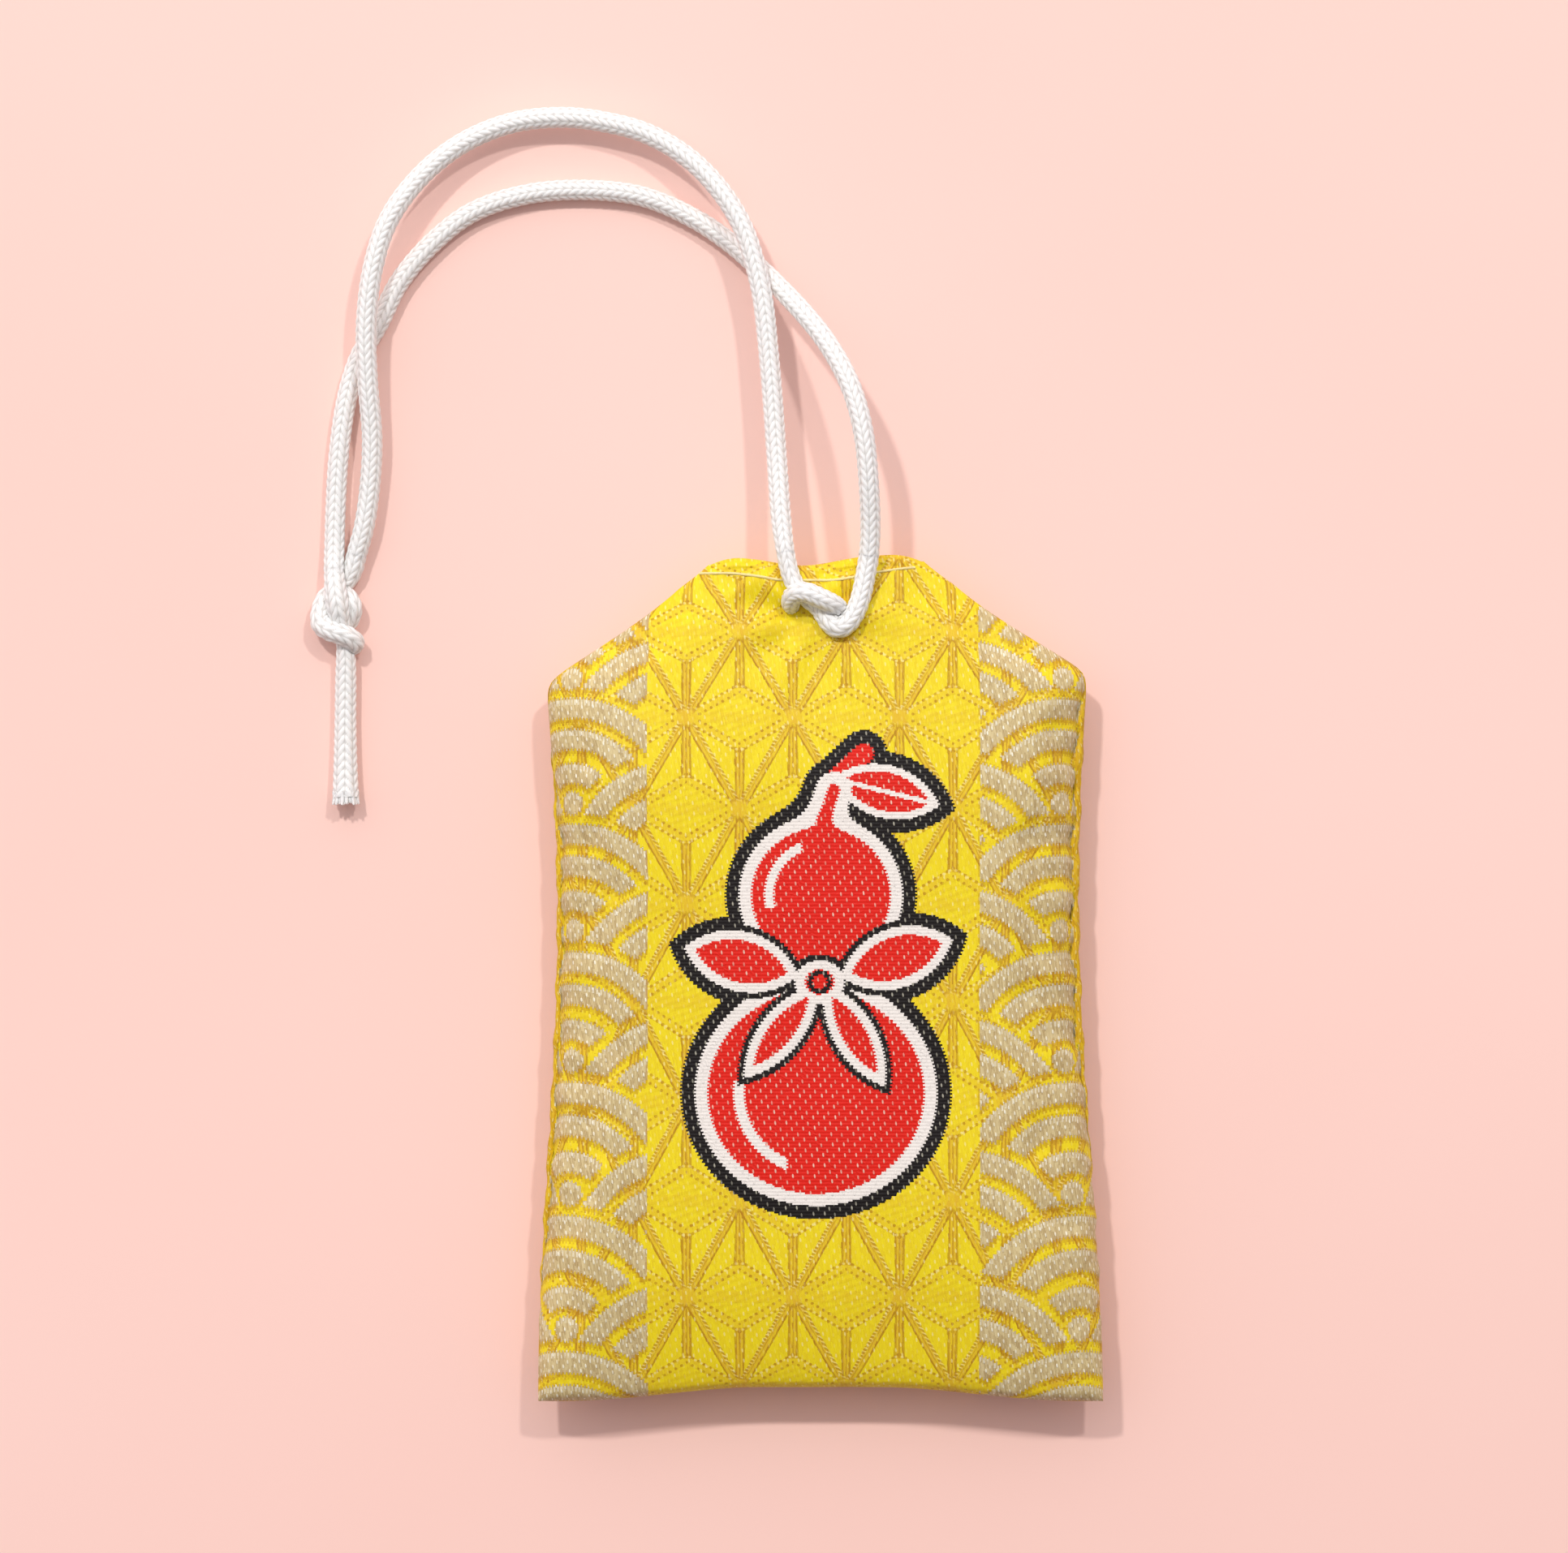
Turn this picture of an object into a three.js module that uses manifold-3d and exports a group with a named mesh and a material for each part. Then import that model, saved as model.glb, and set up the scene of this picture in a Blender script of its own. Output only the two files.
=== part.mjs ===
// Omamori charm: a brocade pouch with its filling, and the white cord that closes and carries it.
// Millimetres. The charm lies face up: +X to the right, +Y towards the cord, +Z out of the face.
// The origin is under the middle of the pouch, on the surface that it lies on.
import * as THREE from 'three';
import { mergeVertices } from 'three/addons/utils/BufferGeometryUtils.js';
import Module from 'manifold-3d';

const wasm = await Module();
wasm.setup();

// Gap that is kept between two pieces, and between the cord and the surface under it
const fit = 0.3;
const tableGap = 0.03;

// Brocade pouch: one strip folded at the foot, sewn up both sides, with its top corners turned in
const pouchLength = 70.8;
const footWidth = 47.3;
const waistWidth = 43.8;
const waistLevel = 41.4;
const shoulderLevel = 60.5;
const crestWidth = 17.6;
const cloth = 0.6;
const seamMargin = 0.9;
const crestThickness = 2.6;
const crestLift = 0.4;
const taperLevel = 49.4;
const sideRoll = 5.5;
const footRoll = 0.8;
const footReach = 22;
const footShare = 0.3;
const rightStrip = 0.66;
const leftStrip = 0.28;
const crestRoll = 1.2;
const backSpread = 1.08;
const crestDip = 0.7;
const footBow = 1.1;
const footBowReach = 14;
const mouthWidth = 14;
const mouthGap = 0.8;
const mouthDepth = 7;

// Filling, from the back to the face
const backPadThickness = 1.4;
const cardThickness = 1;
const cardWidth = 36;
const cardLength = 53;
const cardFootLevel = 4.5;
const cardShoulder = 7;
const paper = 0.35;
const slipWidth = 26;
const slipLength = 44;
const slipFootLevel = 7;
const frontPadThickness = 1.5;
const padTopLevel = 60.5;

// Sewing thread up each side seam
const threadDiameter = 0.4;
const threadFootLevel = 3;

// Cord: the loop, the tie that holds it to the pouch, and the knot that ends it
const cordDiameter = 1.8;
const bightDiameter = 1.6;
const tieDiameter = 1.3;
const tailDiameter = 1.75;
const wrapDiameter = 1.45;
const coreDiameter = 1;
const tieSpacing = 4.2;
const tieOffset = -1.1;
const tieDrop = 4.4;
const tieBow = 0.8;
const hingeReach = 1.6;
const liftLimit = THREE.MathUtils.degToRad(120);
const notchReach = 4.5;
const endKnotTurns = 2;
const endKnotPitch = 1.9;
const cordSides = 8;

// Sizes that follow from the ones above
const slipThickness = 2 * paper + fit;
const cardHeight = cloth + fit + backPadThickness + fit;
const slipHeight = cardHeight + cardThickness + fit;
const frontPadHeight = slipHeight + slipThickness + fit;
const pouchThickness = frontPadHeight + frontPadThickness + fit + cloth;
const seamHeight = pouchThickness / 2;
const footY = -pouchLength / 2;
const crestY = pouchLength / 2;
const tieLevel = pouchLength - tieDrop;

const clamp = THREE.MathUtils.clamp;
const lerp = THREE.MathUtils.lerp;
const smoothstep = THREE.MathUtils.smoothstep;

// Half the width of the pouch's straight part at a level above the fold
function bodyHalf(level) {
  const away = Math.sin((Math.abs(level - waistLevel) / waistLevel) * (Math.PI / 2)) ** 2;
  return waistWidth / 2 + ((footWidth - waistWidth) / 2) * away;
}

// Half the width of the outline, drawn in all round by a margin
function outlineHalf(level, margin) {
  if (level <= shoulderLevel) return bodyHalf(level) - margin;
  const slope = (bodyHalf(shoulderLevel) - crestWidth / 2) / (pouchLength - shoulderLevel);
  return bodyHalf(shoulderLevel) - slope * (level - shoulderLevel) - margin * Math.hypot(1, slope);
}

// 0 on the full thickness of the body, 1 at the thin crest
function crestTaper(level) {
  const share = clamp((level - taperLevel) / (pouchLength - taperLevel), 0, 1);
  return Math.sin((share * Math.PI) / 2) ** 2;
}

function seamPlane(level) {
  return seamHeight + crestLift * crestTaper(level);
}

function halfThickness(level) {
  return lerp(seamHeight, crestThickness / 2, crestTaper(level));
}

// Quarter round that lifts a face from its edge over a reach
function edgeRound(distance, reach) {
  const share = clamp(distance / reach, 0, 1);
  return Math.sqrt(1 - (1 - share) ** 2);
}

// Width of the back panel's edge that shows outside the side seam, which lies low on the face
function stripWidth(x, level) {
  if (x > 0) return rightStrip * smoothstep(level, 18, 34) * (1 - smoothstep(level, 57.5, 60));
  return leftStrip * smoothstep(level, 9, 20) * (1 - smoothstep(level, 40, 50));
}

// How full the pouch is at a point: 0 on its outline or on a strip inside it, 1 on its flat middle
function fullness(x, level, margin, strip) {
  const side = edgeRound(outlineHalf(level, margin) - strip - Math.abs(x), sideRoll);
  const shortRoll = edgeRound(level - margin, footRoll);
  const foot = lerp(edgeRound(level - margin, footReach), shortRoll, footShare);
  const crest = edgeRound(pouchLength - margin - level, crestRoll);
  return side * foot * crest;
}

function faceHeight(x, level, margin, depth) {
  const strip = Math.max(stripWidth(x, level) - margin, 0);
  return seamPlane(level) + (halfThickness(level) - depth) * fullness(x, level, margin, strip);
}

function backHeight(x, level, margin, depth) {
  const drop = (halfThickness(level) - depth) * backSpread * fullness(x, level, margin, 0);
  return Math.max(depth, seamPlane(level) - drop);
}

// The crest dips in the middle, where the tie draws it together, and the fold bows up
function alongPouch(x, level) {
  const top = clamp((level - shoulderLevel) / (pouchLength - shoulderLevel), 0, 1);
  const bottom = clamp(1 - level / footBowReach, 0, 1) ** 2;
  const dip = crestDip * top * Math.cos((clamp((2 * x) / crestWidth, -1, 1) * Math.PI) / 2) ** 2;
  const bow = footBow * bottom * (1 - smoothstep(Math.abs(x), 5, 20.5));
  return footY + level - dip + bow;
}

// Levels of the rows of a pillow: close together at the fold and at the crest
function rowLevels(margin, bodyRows, shoulderRows) {
  const levels = [];
  for (let row = 0; row <= bodyRows; row += 1) {
    const share = 1 - Math.cos((row / bodyRows) * (Math.PI / 2));
    levels.push(lerp(margin, shoulderLevel, share));
  }
  for (let row = 1; row <= shoulderRows; row += 1) {
    const share = Math.sin((row / shoulderRows) * (Math.PI / 2));
    levels.push(lerp(shoulderLevel, pouchLength - margin, share));
  }
  return levels;
}

// A closed pillow of the pouch's form, drawn in by a margin at its outline and a depth at its faces
function pillowGeometry(margin, depth, columns, bodyRows, shoulderRows) {
  const levels = rowLevels(margin, bodyRows, shoulderRows);
  const rows = levels.length - 1;
  const positions = [];
  const face = [];
  const back = [];
  const addPoint = (x, y, z) => positions.push(x, y, z) / 3 - 1;
  levels.forEach((level, row) => {
    face.push([]);
    back.push([]);
    for (let column = 0; column <= columns; column += 1) {
      const across = Math.sin(((2 * column) / columns - 1) * (Math.PI / 2));
      const x = across * outlineHalf(level, margin);
      const y = alongPouch(x, level);
      const onOutline = row === 0 || row === rows || column === 0 || column === columns;
      const front = addPoint(x, y, onOutline ? seamPlane(level) : faceHeight(x, level, margin, depth));
      face[row].push(front);
      back[row].push(onOutline ? front : addPoint(x, y, backHeight(x, level, margin, depth)));
    }
  });
  const index = [];
  const addCell = (a, b, c, d, turned) => {
    if (turned) index.push(a, b, d, b, c, d);
    else index.push(a, b, c, a, c, d);
  };
  for (let row = 0; row < rows; row += 1) {
    for (let column = 0; column < columns; column += 1) {
      const turned = (2 * column < columns) !== (2 * row < rows);
      const corners = [[row, column], [row, column + 1], [row + 1, column + 1], [row + 1, column]];
      const [a, b, c, d] = corners.map(([r, k]) => face[r][k]);
      addCell(a, b, c, d, turned);
      const [e, f, g, h] = corners.map(([r, k]) => back[r][k]);
      addCell(f, e, h, g, !turned);
    }
  }
  const geometry = new THREE.BufferGeometry();
  geometry.setAttribute('position', new THREE.Float32BufferAttribute(positions, 3));
  geometry.setIndex(index);
  return geometry;
}

// Solids for cutting and joining
function toSolid(geometry) {
  const bare = geometry.clone();
  bare.deleteAttribute('normal');
  bare.deleteAttribute('uv');
  const merged = mergeVertices(bare, 1e-4);
  const vertProperties = new Float32Array(merged.attributes.position.array);
  const triVerts = new Uint32Array(merged.index.array);
  return new wasm.Manifold(new wasm.Mesh({ numProp: 3, vertProperties, triVerts }));
}

function toGeometry(solid) {
  const mesh = solid.getMesh();
  const geometry = new THREE.BufferGeometry();
  geometry.setAttribute('position', new THREE.BufferAttribute(mesh.vertProperties, 3));
  geometry.setIndex(new THREE.BufferAttribute(mesh.triVerts, 1));
  geometry.computeVertexNormals();
  return geometry;
}

function boxSolid(width, length, height, x, y, z) {
  return toSolid(new THREE.BoxGeometry(width, length, height).translate(x, y, z));
}

function makeMesh(name, geometry, colour, roughness) {
  const material = new THREE.MeshStandardMaterial({ color: colour, roughness, metalness: 0 });
  const mesh = new THREE.Mesh(geometry, material);
  mesh.name = name;
  return mesh;
}

// A round cord along points that are chosen by hand
function cordGeometry(points, diameter, steps) {
  const places = points.map((point) => new THREE.Vector3(...point));
  const path = new THREE.CatmullRomCurve3(places, false, 'centripetal');
  const section = new THREE.Shape();
  for (let side = 0; side < cordSides; side += 1) {
    const angle = (side / cordSides) * Math.PI * 2;
    const corner = [(diameter / 2) * Math.cos(angle), (diameter / 2) * Math.sin(angle)];
    if (side === 0) section.moveTo(...corner);
    else section.lineTo(...corner);
  }
  section.closePath();
  return new THREE.ExtrudeGeometry(section, { extrudePath: path, steps, bevelEnabled: false });
}

// Heights of the face and the back where the tie goes through
const tieX = [tieOffset - tieSpacing / 2, tieOffset + tieSpacing / 2];
const faceAtTie = faceHeight(tieOffset, tieLevel, 0, 0);
const backAtTie = backHeight(tieOffset, tieLevel, 0, 0);
const bightHeight = faceAtTie + fit + bightDiameter / 2;
const archHeight = bightHeight + bightDiameter / 2 + fit + tieDiameter / 2;
const barHeight = backAtTie - fit - tieDiameter / 2;

// Pouch: outer form, less the space inside, the mouth between the turned-in edges and the tie's holes
function pouchMesh() {
  const outer = toSolid(pillowGeometry(0, 0, 18, 12, 6));
  const space = toSolid(pillowGeometry(seamMargin, cloth, 12, 8, 4));
  const mouthY = crestY + fit - mouthDepth / 2;
  const mouth = boxSolid(mouthWidth, mouthDepth + fit, mouthGap, 0, mouthY, seamPlane(pouchLength));
  let pouch = outer.subtract(space).subtract(mouth);
  for (const x of tieX) {
    const radius = tieDiameter / 2 + fit;
    const hole = new THREE.CylinderGeometry(radius, radius, 2 * pouchThickness, 12);
    hole.rotateX(Math.PI / 2).translate(x, footY + tieLevel, seamHeight);
    pouch = pouch.subtract(toSolid(hole));
  }
  return makeMesh('brocade_pouch', toGeometry(pouch), 0xf2d41c, 0.6);
}

// Seam thread: follows the side inside the sewn edge
function seamThreadMesh(name, sign) {
  const points = [];
  const count = 6;
  for (let point = 0; point <= count; point += 1) {
    const level = lerp(threadFootLevel, shoulderLevel - threadFootLevel, point / count);
    const x = outlineHalf(level, seamMargin) - fit - threadDiameter / 2;
    points.push([sign * x, alongPouch(x, level), seamPlane(level)]);
  }
  return makeMesh(name, cordGeometry(points, threadDiameter, 10), 0xe8c93a, 0.8);
}

// Pads: slices of the space inside the pouch
function padMesh(name, bottom, top) {
  const stuffing = toSolid(pillowGeometry(seamMargin + fit, cloth + fit, 12, 8, 4));
  const length = 2 * padTopLevel;
  const slice = boxSolid(2 * footWidth, length, top - bottom, 0, footY, (bottom + top) / 2);
  return makeMesh(name, toGeometry(stuffing.intersect(slice)), 0xf4f1e8, 0.95);
}

// Card: keeps the pouch flat, with its shoulders cut to the pouch's
function cardMesh() {
  const half = cardWidth / 2;
  const outline = new THREE.Shape();
  outline.moveTo(-half, 0).lineTo(half, 0).lineTo(half, cardLength - cardShoulder);
  outline.lineTo(half - cardShoulder, cardLength).lineTo(cardShoulder - half, cardLength);
  outline.lineTo(-half, cardLength - cardShoulder);
  const geometry = new THREE.ExtrudeGeometry(outline, { depth: cardThickness, bevelEnabled: false });
  const mesh = makeMesh('core_card', geometry, 0xd9cfb8, 0.9);
  mesh.position.set(0, footY + cardFootLevel, cardHeight);
  return mesh;
}

// Slip: a sheet of blank paper folded in two, with its fold at the foot
function slipMesh() {
  const outerRadius = slipThickness / 2;
  const innerRadius = fit / 2;
  const profile = new THREE.Shape();
  profile.moveTo(slipLength, 0).lineTo(outerRadius, 0);
  profile.absarc(outerRadius, outerRadius, outerRadius, -Math.PI / 2, -1.5 * Math.PI, true);
  profile.lineTo(slipLength, slipThickness).lineTo(slipLength, slipThickness - paper);
  profile.absarc(outerRadius, outerRadius, innerRadius, Math.PI / 2, 1.5 * Math.PI, false);
  profile.lineTo(slipLength, paper);
  const options = { depth: slipWidth, curveSegments: 4, bevelEnabled: false };
  const geometry = new THREE.ExtrudeGeometry(profile, options);
  const along = new THREE.Vector3(0, 1, 0);
  const up = new THREE.Vector3(0, 0, 1);
  const across = new THREE.Vector3(1, 0, 0);
  geometry.applyMatrix4(new THREE.Matrix4().makeBasis(along, up, across));
  const mesh = makeMesh('prayer_slip', geometry, 0xf8f6ee, 0.9);
  mesh.position.set(-slipWidth / 2, footY + slipFootLevel, slipHeight);
  return mesh;
}

// Places on the cord below are counted from the middle of the crest: x, y along the charm, and
// the height of the cord's middle above the table.
const hingeA = [-2.84, hingeReach, bightHeight];
const hingeB = [4.23, hingeReach, bightHeight];
const onTable = cordDiameter / 2 + tableGap;

// Tie: through both holes, over the bight in front and along the back, where its ends meet
function tieMesh() {
  const [left, right] = tieX;
  const y = -tieDrop;
  const endGap = fit / 2;
  const bend = tieDiameter / 2;
  const sideHeight = lerp(faceAtTie, archHeight, 0.6);
  const points = [
    [tieOffset + endGap, y, barHeight],
    [right - 2 * bend, y, barHeight], [right - bend / 3, y, barHeight + bend / 3],
    [right, y, barHeight + 2 * bend], [right, y, faceAtTie], [right - 0.15, y + 0.25 * tieBow, sideHeight],
    [lerp(tieOffset, right, 0.45), y + 0.8 * tieBow, archHeight - 0.15],
    [tieOffset - 0.2, y + tieBow, archHeight],
    [lerp(tieOffset, left, 0.6), y + 0.8 * tieBow, archHeight - 0.2],
    [left + 0.05, y + 0.25 * tieBow, sideHeight], [left, y, faceAtTie], [left, y, barHeight + 2 * bend],
    [left + bend / 3, y, barHeight + bend / 3], [left + 2 * bend, y, barHeight],
    [tieOffset - endGap, y, barHeight],
  ];
  return makeMesh('holding_tie', cordGeometry(points, tieDiameter, 44), 0xf4f4f2, 0.55);
}

// Room that a strand of the loop needs to swing up about its hinge
function swingRoom(hinge) {
  const reach = cordDiameter / 2 + fit;
  const ball = toSolid(new THREE.SphereGeometry(reach, 12, 8).translate(...hinge));
  const slab = new THREE.BoxGeometry(2 * (reach + fit), notchReach, 2 * reach);
  slab.translate(0, notchReach / 2, 0).rotateX(liftLimit).translate(...hinge);
  return ball.add(toSolid(slab));
}

// Bight: the loop's cord comes down under the tie, turns round and goes back up beside it
function bightMesh() {
  const height = bightHeight;
  const points = [
    hingeA, [-2.62, 0.1, height], [-2.36, -1.4, height], [-2.02, -2.5, height], [-1.5, -3.4, height],
    [-0.95, -4.4, height], [-0.5, -5.2, height], [0.2, -6.05, height], [1.25, -6.5, height],
    [2.35, -6.05, height], [3.0, -5.1, height], [3.28, -4.0, height], [3.62, -2.5, height],
    [3.95, -0.8, height], hingeB,
  ];
  const bight = toSolid(cordGeometry(points, bightDiameter, 40));
  const cut = bight.subtract(swingRoom(hingeA)).subtract(swingRoom(hingeB));
  return makeMesh('loop_bight', toGeometry(cut), 0xf4f4f2, 0.55);
}

// Strand of the loop, with a round end on the hinge line
function strandMesh(name, points, steps) {
  const end = toSolid(new THREE.SphereGeometry(cordDiameter / 2, cordSides, 6).translate(...points[0]));
  const strand = toSolid(cordGeometry(points, cordDiameter, steps)).add(end);
  return makeMesh(name, toGeometry(strand), 0xf4f4f2, 0.55);
}

const outerStrand = [
  hingeA, [-3.68, 8.57, 4.9], [-4.26, 16.07, 4.5], [-5.1, 22.88, 4.3], [-6.88, 28.34, 3.9],
  [-10.29, 32.77, 3.1], [-14.38, 35.49, 2.4], [-18.47, 36.65, 2.1], [-21.88, 36.99, 2],
  [-25.97, 36.52, 2.1], [-30.06, 34.81, 2.4], [-33.47, 32.08, 2.9], [-36.2, 28.34, 3.4],
  [-37.56, 24.25, 3.6], [-38.1, 19.47, 3.5], [-37.9, 14.7, 2.9], [-37.45, 9.93, 2.2], [-37.5, 5.84, 1.8],
  [-38.1, 1.75, 1.8], [-38.3, -1.2, 2],
];
const innerStrand = [
  hingeB, [3.98, 5.9, 7.85], [3.62, 9.6, 8.15], [2.98, 12.5, 7.95], [2, 15.1, 7.35], [0.42, 17.88, 6.1],
  [-1.17, 20, 4.9], [-3.07, 22.15, 3.45], [-5.18, 24.32, 2], [-7.52, 26.45, 1.1], [-10.6, 28.54, onTable],
  [-15.06, 30.45, onTable], [-20.52, 31, onTable], [-25.35, 30.5, onTable], [-29.55, 29, onTable],
  [-32.85, 26.4, onTable], [-35.51, 23.22, onTable], [-37.22, 19.81, onTable], [-38.92, 16.75, onTable],
  [-39.95, 13.34, onTable], [-40.63, 8.57, onTable], [-40.83, 3.8, onTable], [-40.8, 0.4, 1.3],
  [-40.65, -1.6, 1.9], [-40.55, -2.5, 2.25],
];

// End knot: the outer strand is wound round the squeezed end of the inner one
const coreX = -40.55;
const coreTop = -2.8;
const coreBottom = -8;
const wrapRadius = (coreDiameter + wrapDiameter) / 2 + fit;
const coreHeight = wrapRadius + wrapDiameter / 2 + tableGap;
const wrapTop = -3.6;
const wrapBottom = wrapTop - endKnotTurns * endKnotPitch;

function endKnotMesh() {
  const side = coreX + wrapRadius;
  const points = [[side + 0.55, -1.5, coreHeight - 0.25], [side + 0.45, -2.6, coreHeight]];
  const perTurn = 12;
  for (let step = 0; step <= endKnotTurns * perTurn; step += 1) {
    const turn = (-step / perTurn) * Math.PI * 2;
    const x = coreX + wrapRadius * Math.cos(turn);
    const z = coreHeight + wrapRadius * Math.sin(turn);
    points.push([x, wrapTop - (step / perTurn) * endKnotPitch, z]);
  }
  points.push([side - 0.15, wrapBottom - 0.9, coreHeight - 0.6]);
  return makeMesh('end_knot', cordGeometry(points, wrapDiameter, 24 * endKnotTurns), 0xf4f4f2, 0.55);
}

function knotCoreMesh() {
  const points = [[coreX, coreTop, coreHeight], [coreX, coreBottom, coreHeight]];
  return makeMesh('knot_core', cordGeometry(points, coreDiameter, 2), 0xf4f4f2, 0.55);
}

// Tail: what is left of the cord past the knot, cut square
function tailMesh() {
  const start = coreX + wrapRadius - 0.2;
  const low = tailDiameter / 2 + tableGap;
  const points = [
    [start, wrapBottom - 1.25, coreHeight - 0.8], [-39.6, -10.9, 1.2],
    [-39.9, -13.4, low], [-39.98, -16.8, low], [-39.95, -20.4, low],
  ];
  return makeMesh('cord_tail', cordGeometry(points, tailDiameter, 8), 0xf4f4f2, 0.6);
}

const cord = new THREE.Group();
cord.position.y = crestY;
cord.add(tieMesh(), bightMesh());
cord.add(strandMesh('loop_strand_outer', outerStrand, 34), strandMesh('loop_strand_inner', innerStrand, 36));
cord.add(endKnotMesh(), knotCoreMesh(), tailMesh());

const charm = new THREE.Group();
charm.add(pouchMesh(), seamThreadMesh('left_seam_thread', -1), seamThreadMesh('right_seam_thread', 1));
charm.add(padMesh('back_pad', cloth + fit, cardHeight - fit), cardMesh(), slipMesh());
charm.add(padMesh('front_pad', frontPadHeight, pouchThickness), cord);

export default charm;
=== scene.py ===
"""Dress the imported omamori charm: woven pouch, filling, braided cord, floor, lights and camera.

Sizes are in millimetres unless a name says otherwise. Meshes are written in metres, in the CAD frame:
+X to the right, +Y towards the cord, +Z out of the face, with the charm lying on its back.
"""
import logging
import math
from dataclasses import dataclass, field
from enum import Enum
from typing import Callable, Optional, Sequence, Union

import bpy
import numpy as np
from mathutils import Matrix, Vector, noise
from mathutils.bvhtree import BVHTree


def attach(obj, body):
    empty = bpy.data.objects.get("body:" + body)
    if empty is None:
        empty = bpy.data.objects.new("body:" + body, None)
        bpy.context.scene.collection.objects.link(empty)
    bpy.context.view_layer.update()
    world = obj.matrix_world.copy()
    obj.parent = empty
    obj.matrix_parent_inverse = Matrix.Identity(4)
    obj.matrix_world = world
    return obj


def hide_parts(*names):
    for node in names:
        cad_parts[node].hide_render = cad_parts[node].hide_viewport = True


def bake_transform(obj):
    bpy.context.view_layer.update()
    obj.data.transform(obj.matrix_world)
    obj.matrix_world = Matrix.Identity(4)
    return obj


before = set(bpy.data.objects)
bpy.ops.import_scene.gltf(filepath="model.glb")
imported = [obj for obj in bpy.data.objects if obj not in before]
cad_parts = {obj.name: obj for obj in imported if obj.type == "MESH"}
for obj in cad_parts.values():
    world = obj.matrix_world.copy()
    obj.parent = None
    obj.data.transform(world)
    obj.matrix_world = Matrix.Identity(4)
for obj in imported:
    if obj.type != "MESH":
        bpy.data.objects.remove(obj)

LOG = logging.getLogger("omamori")
MM = 0.001
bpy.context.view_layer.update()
CLOTH_MAP = "cloth"
CORD_MAP = "cord"
STITCH = "stitch"
# Height of a stitch, from 0 to 1, at which a cord has its full radius
MEAN_STITCH = 0.6
# Sockets of a Mix node for colours, by number, because its names repeat
MIX_INPUTS = (0, 6, 7)
MIX_RESULT = 2
# Steps between two points of a cord, before its line is spaced evenly
SPAN_STEPS = 48

Colour = tuple[float, float, float, float]
# Places along a cord, some with the cord's radius there as a fourth number
CordPoints = tuple[tuple[float, ...], ...]


def srgb(red: int, green: int, blue: int) -> Colour:
    """Turn a colour as it is seen, 0 to 255, into the linear colour that a shader takes."""
    channels = [value / 255 for value in (red, green, blue)]
    linear = [c / 12.92 if c <= 0.04045 else ((c + 0.055) / 1.055) ** 2.4 for c in channels]
    return (linear[0], linear[1], linear[2], 1.0)


def math_method(operation: str, swapped: bool = False) -> Callable[..., "Signal"]:
    """Make a method of a signal that adds one Math node.

    Args:
        operation: What the node does.
        swapped: Whether the signal comes after the other value.

    Returns:
        The method, which gives the node's result.
    """

    def method(self: "Signal", *others: "Value") -> "Signal":
        """Add the Math node."""
        values = (*others, self) if swapped else (self, *others)
        return self.shader.math(operation, *values)

    return method


class Signal:
    """A value that flows through a shader tree; arithmetic on it adds Math nodes.

    A comparison gives 1 where it holds, else 0. `size` drops the sign, `floor` rounds down, `least` and
    `most` take the smaller and the greater of two, and `fold` runs to and fro between 0 and a reach.
    """

    __add__ = math_method("ADD")
    __radd__ = math_method("ADD", swapped=True)
    __sub__ = math_method("SUBTRACT")
    __rsub__ = math_method("SUBTRACT", swapped=True)
    __mul__ = math_method("MULTIPLY")
    __rmul__ = math_method("MULTIPLY", swapped=True)
    __truediv__ = math_method("DIVIDE")
    __gt__ = math_method("GREATER_THAN")
    __lt__ = math_method("LESS_THAN")
    size = math_method("ABSOLUTE")
    floor = math_method("FLOOR")
    least = math_method("MINIMUM")
    most = math_method("MAXIMUM")
    fold = math_method("PINGPONG")

    def __init__(self, shader: "ShaderTree", socket: bpy.types.NodeSocket) -> None:
        """Keep the tree and the socket that the value comes out of."""
        self.shader = shader
        self.socket = socket

    def wrap(self, period: float) -> "Signal":
        """Run from 0 to a period again and again."""
        return self.shader.math("WRAP", self, period, 0.0)

    def inverse(self) -> "Signal":
        """Turn a mask round."""
        return 1.0 - self


Value = Union[Signal, float]
Paint = Union[Signal, Colour]


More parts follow.
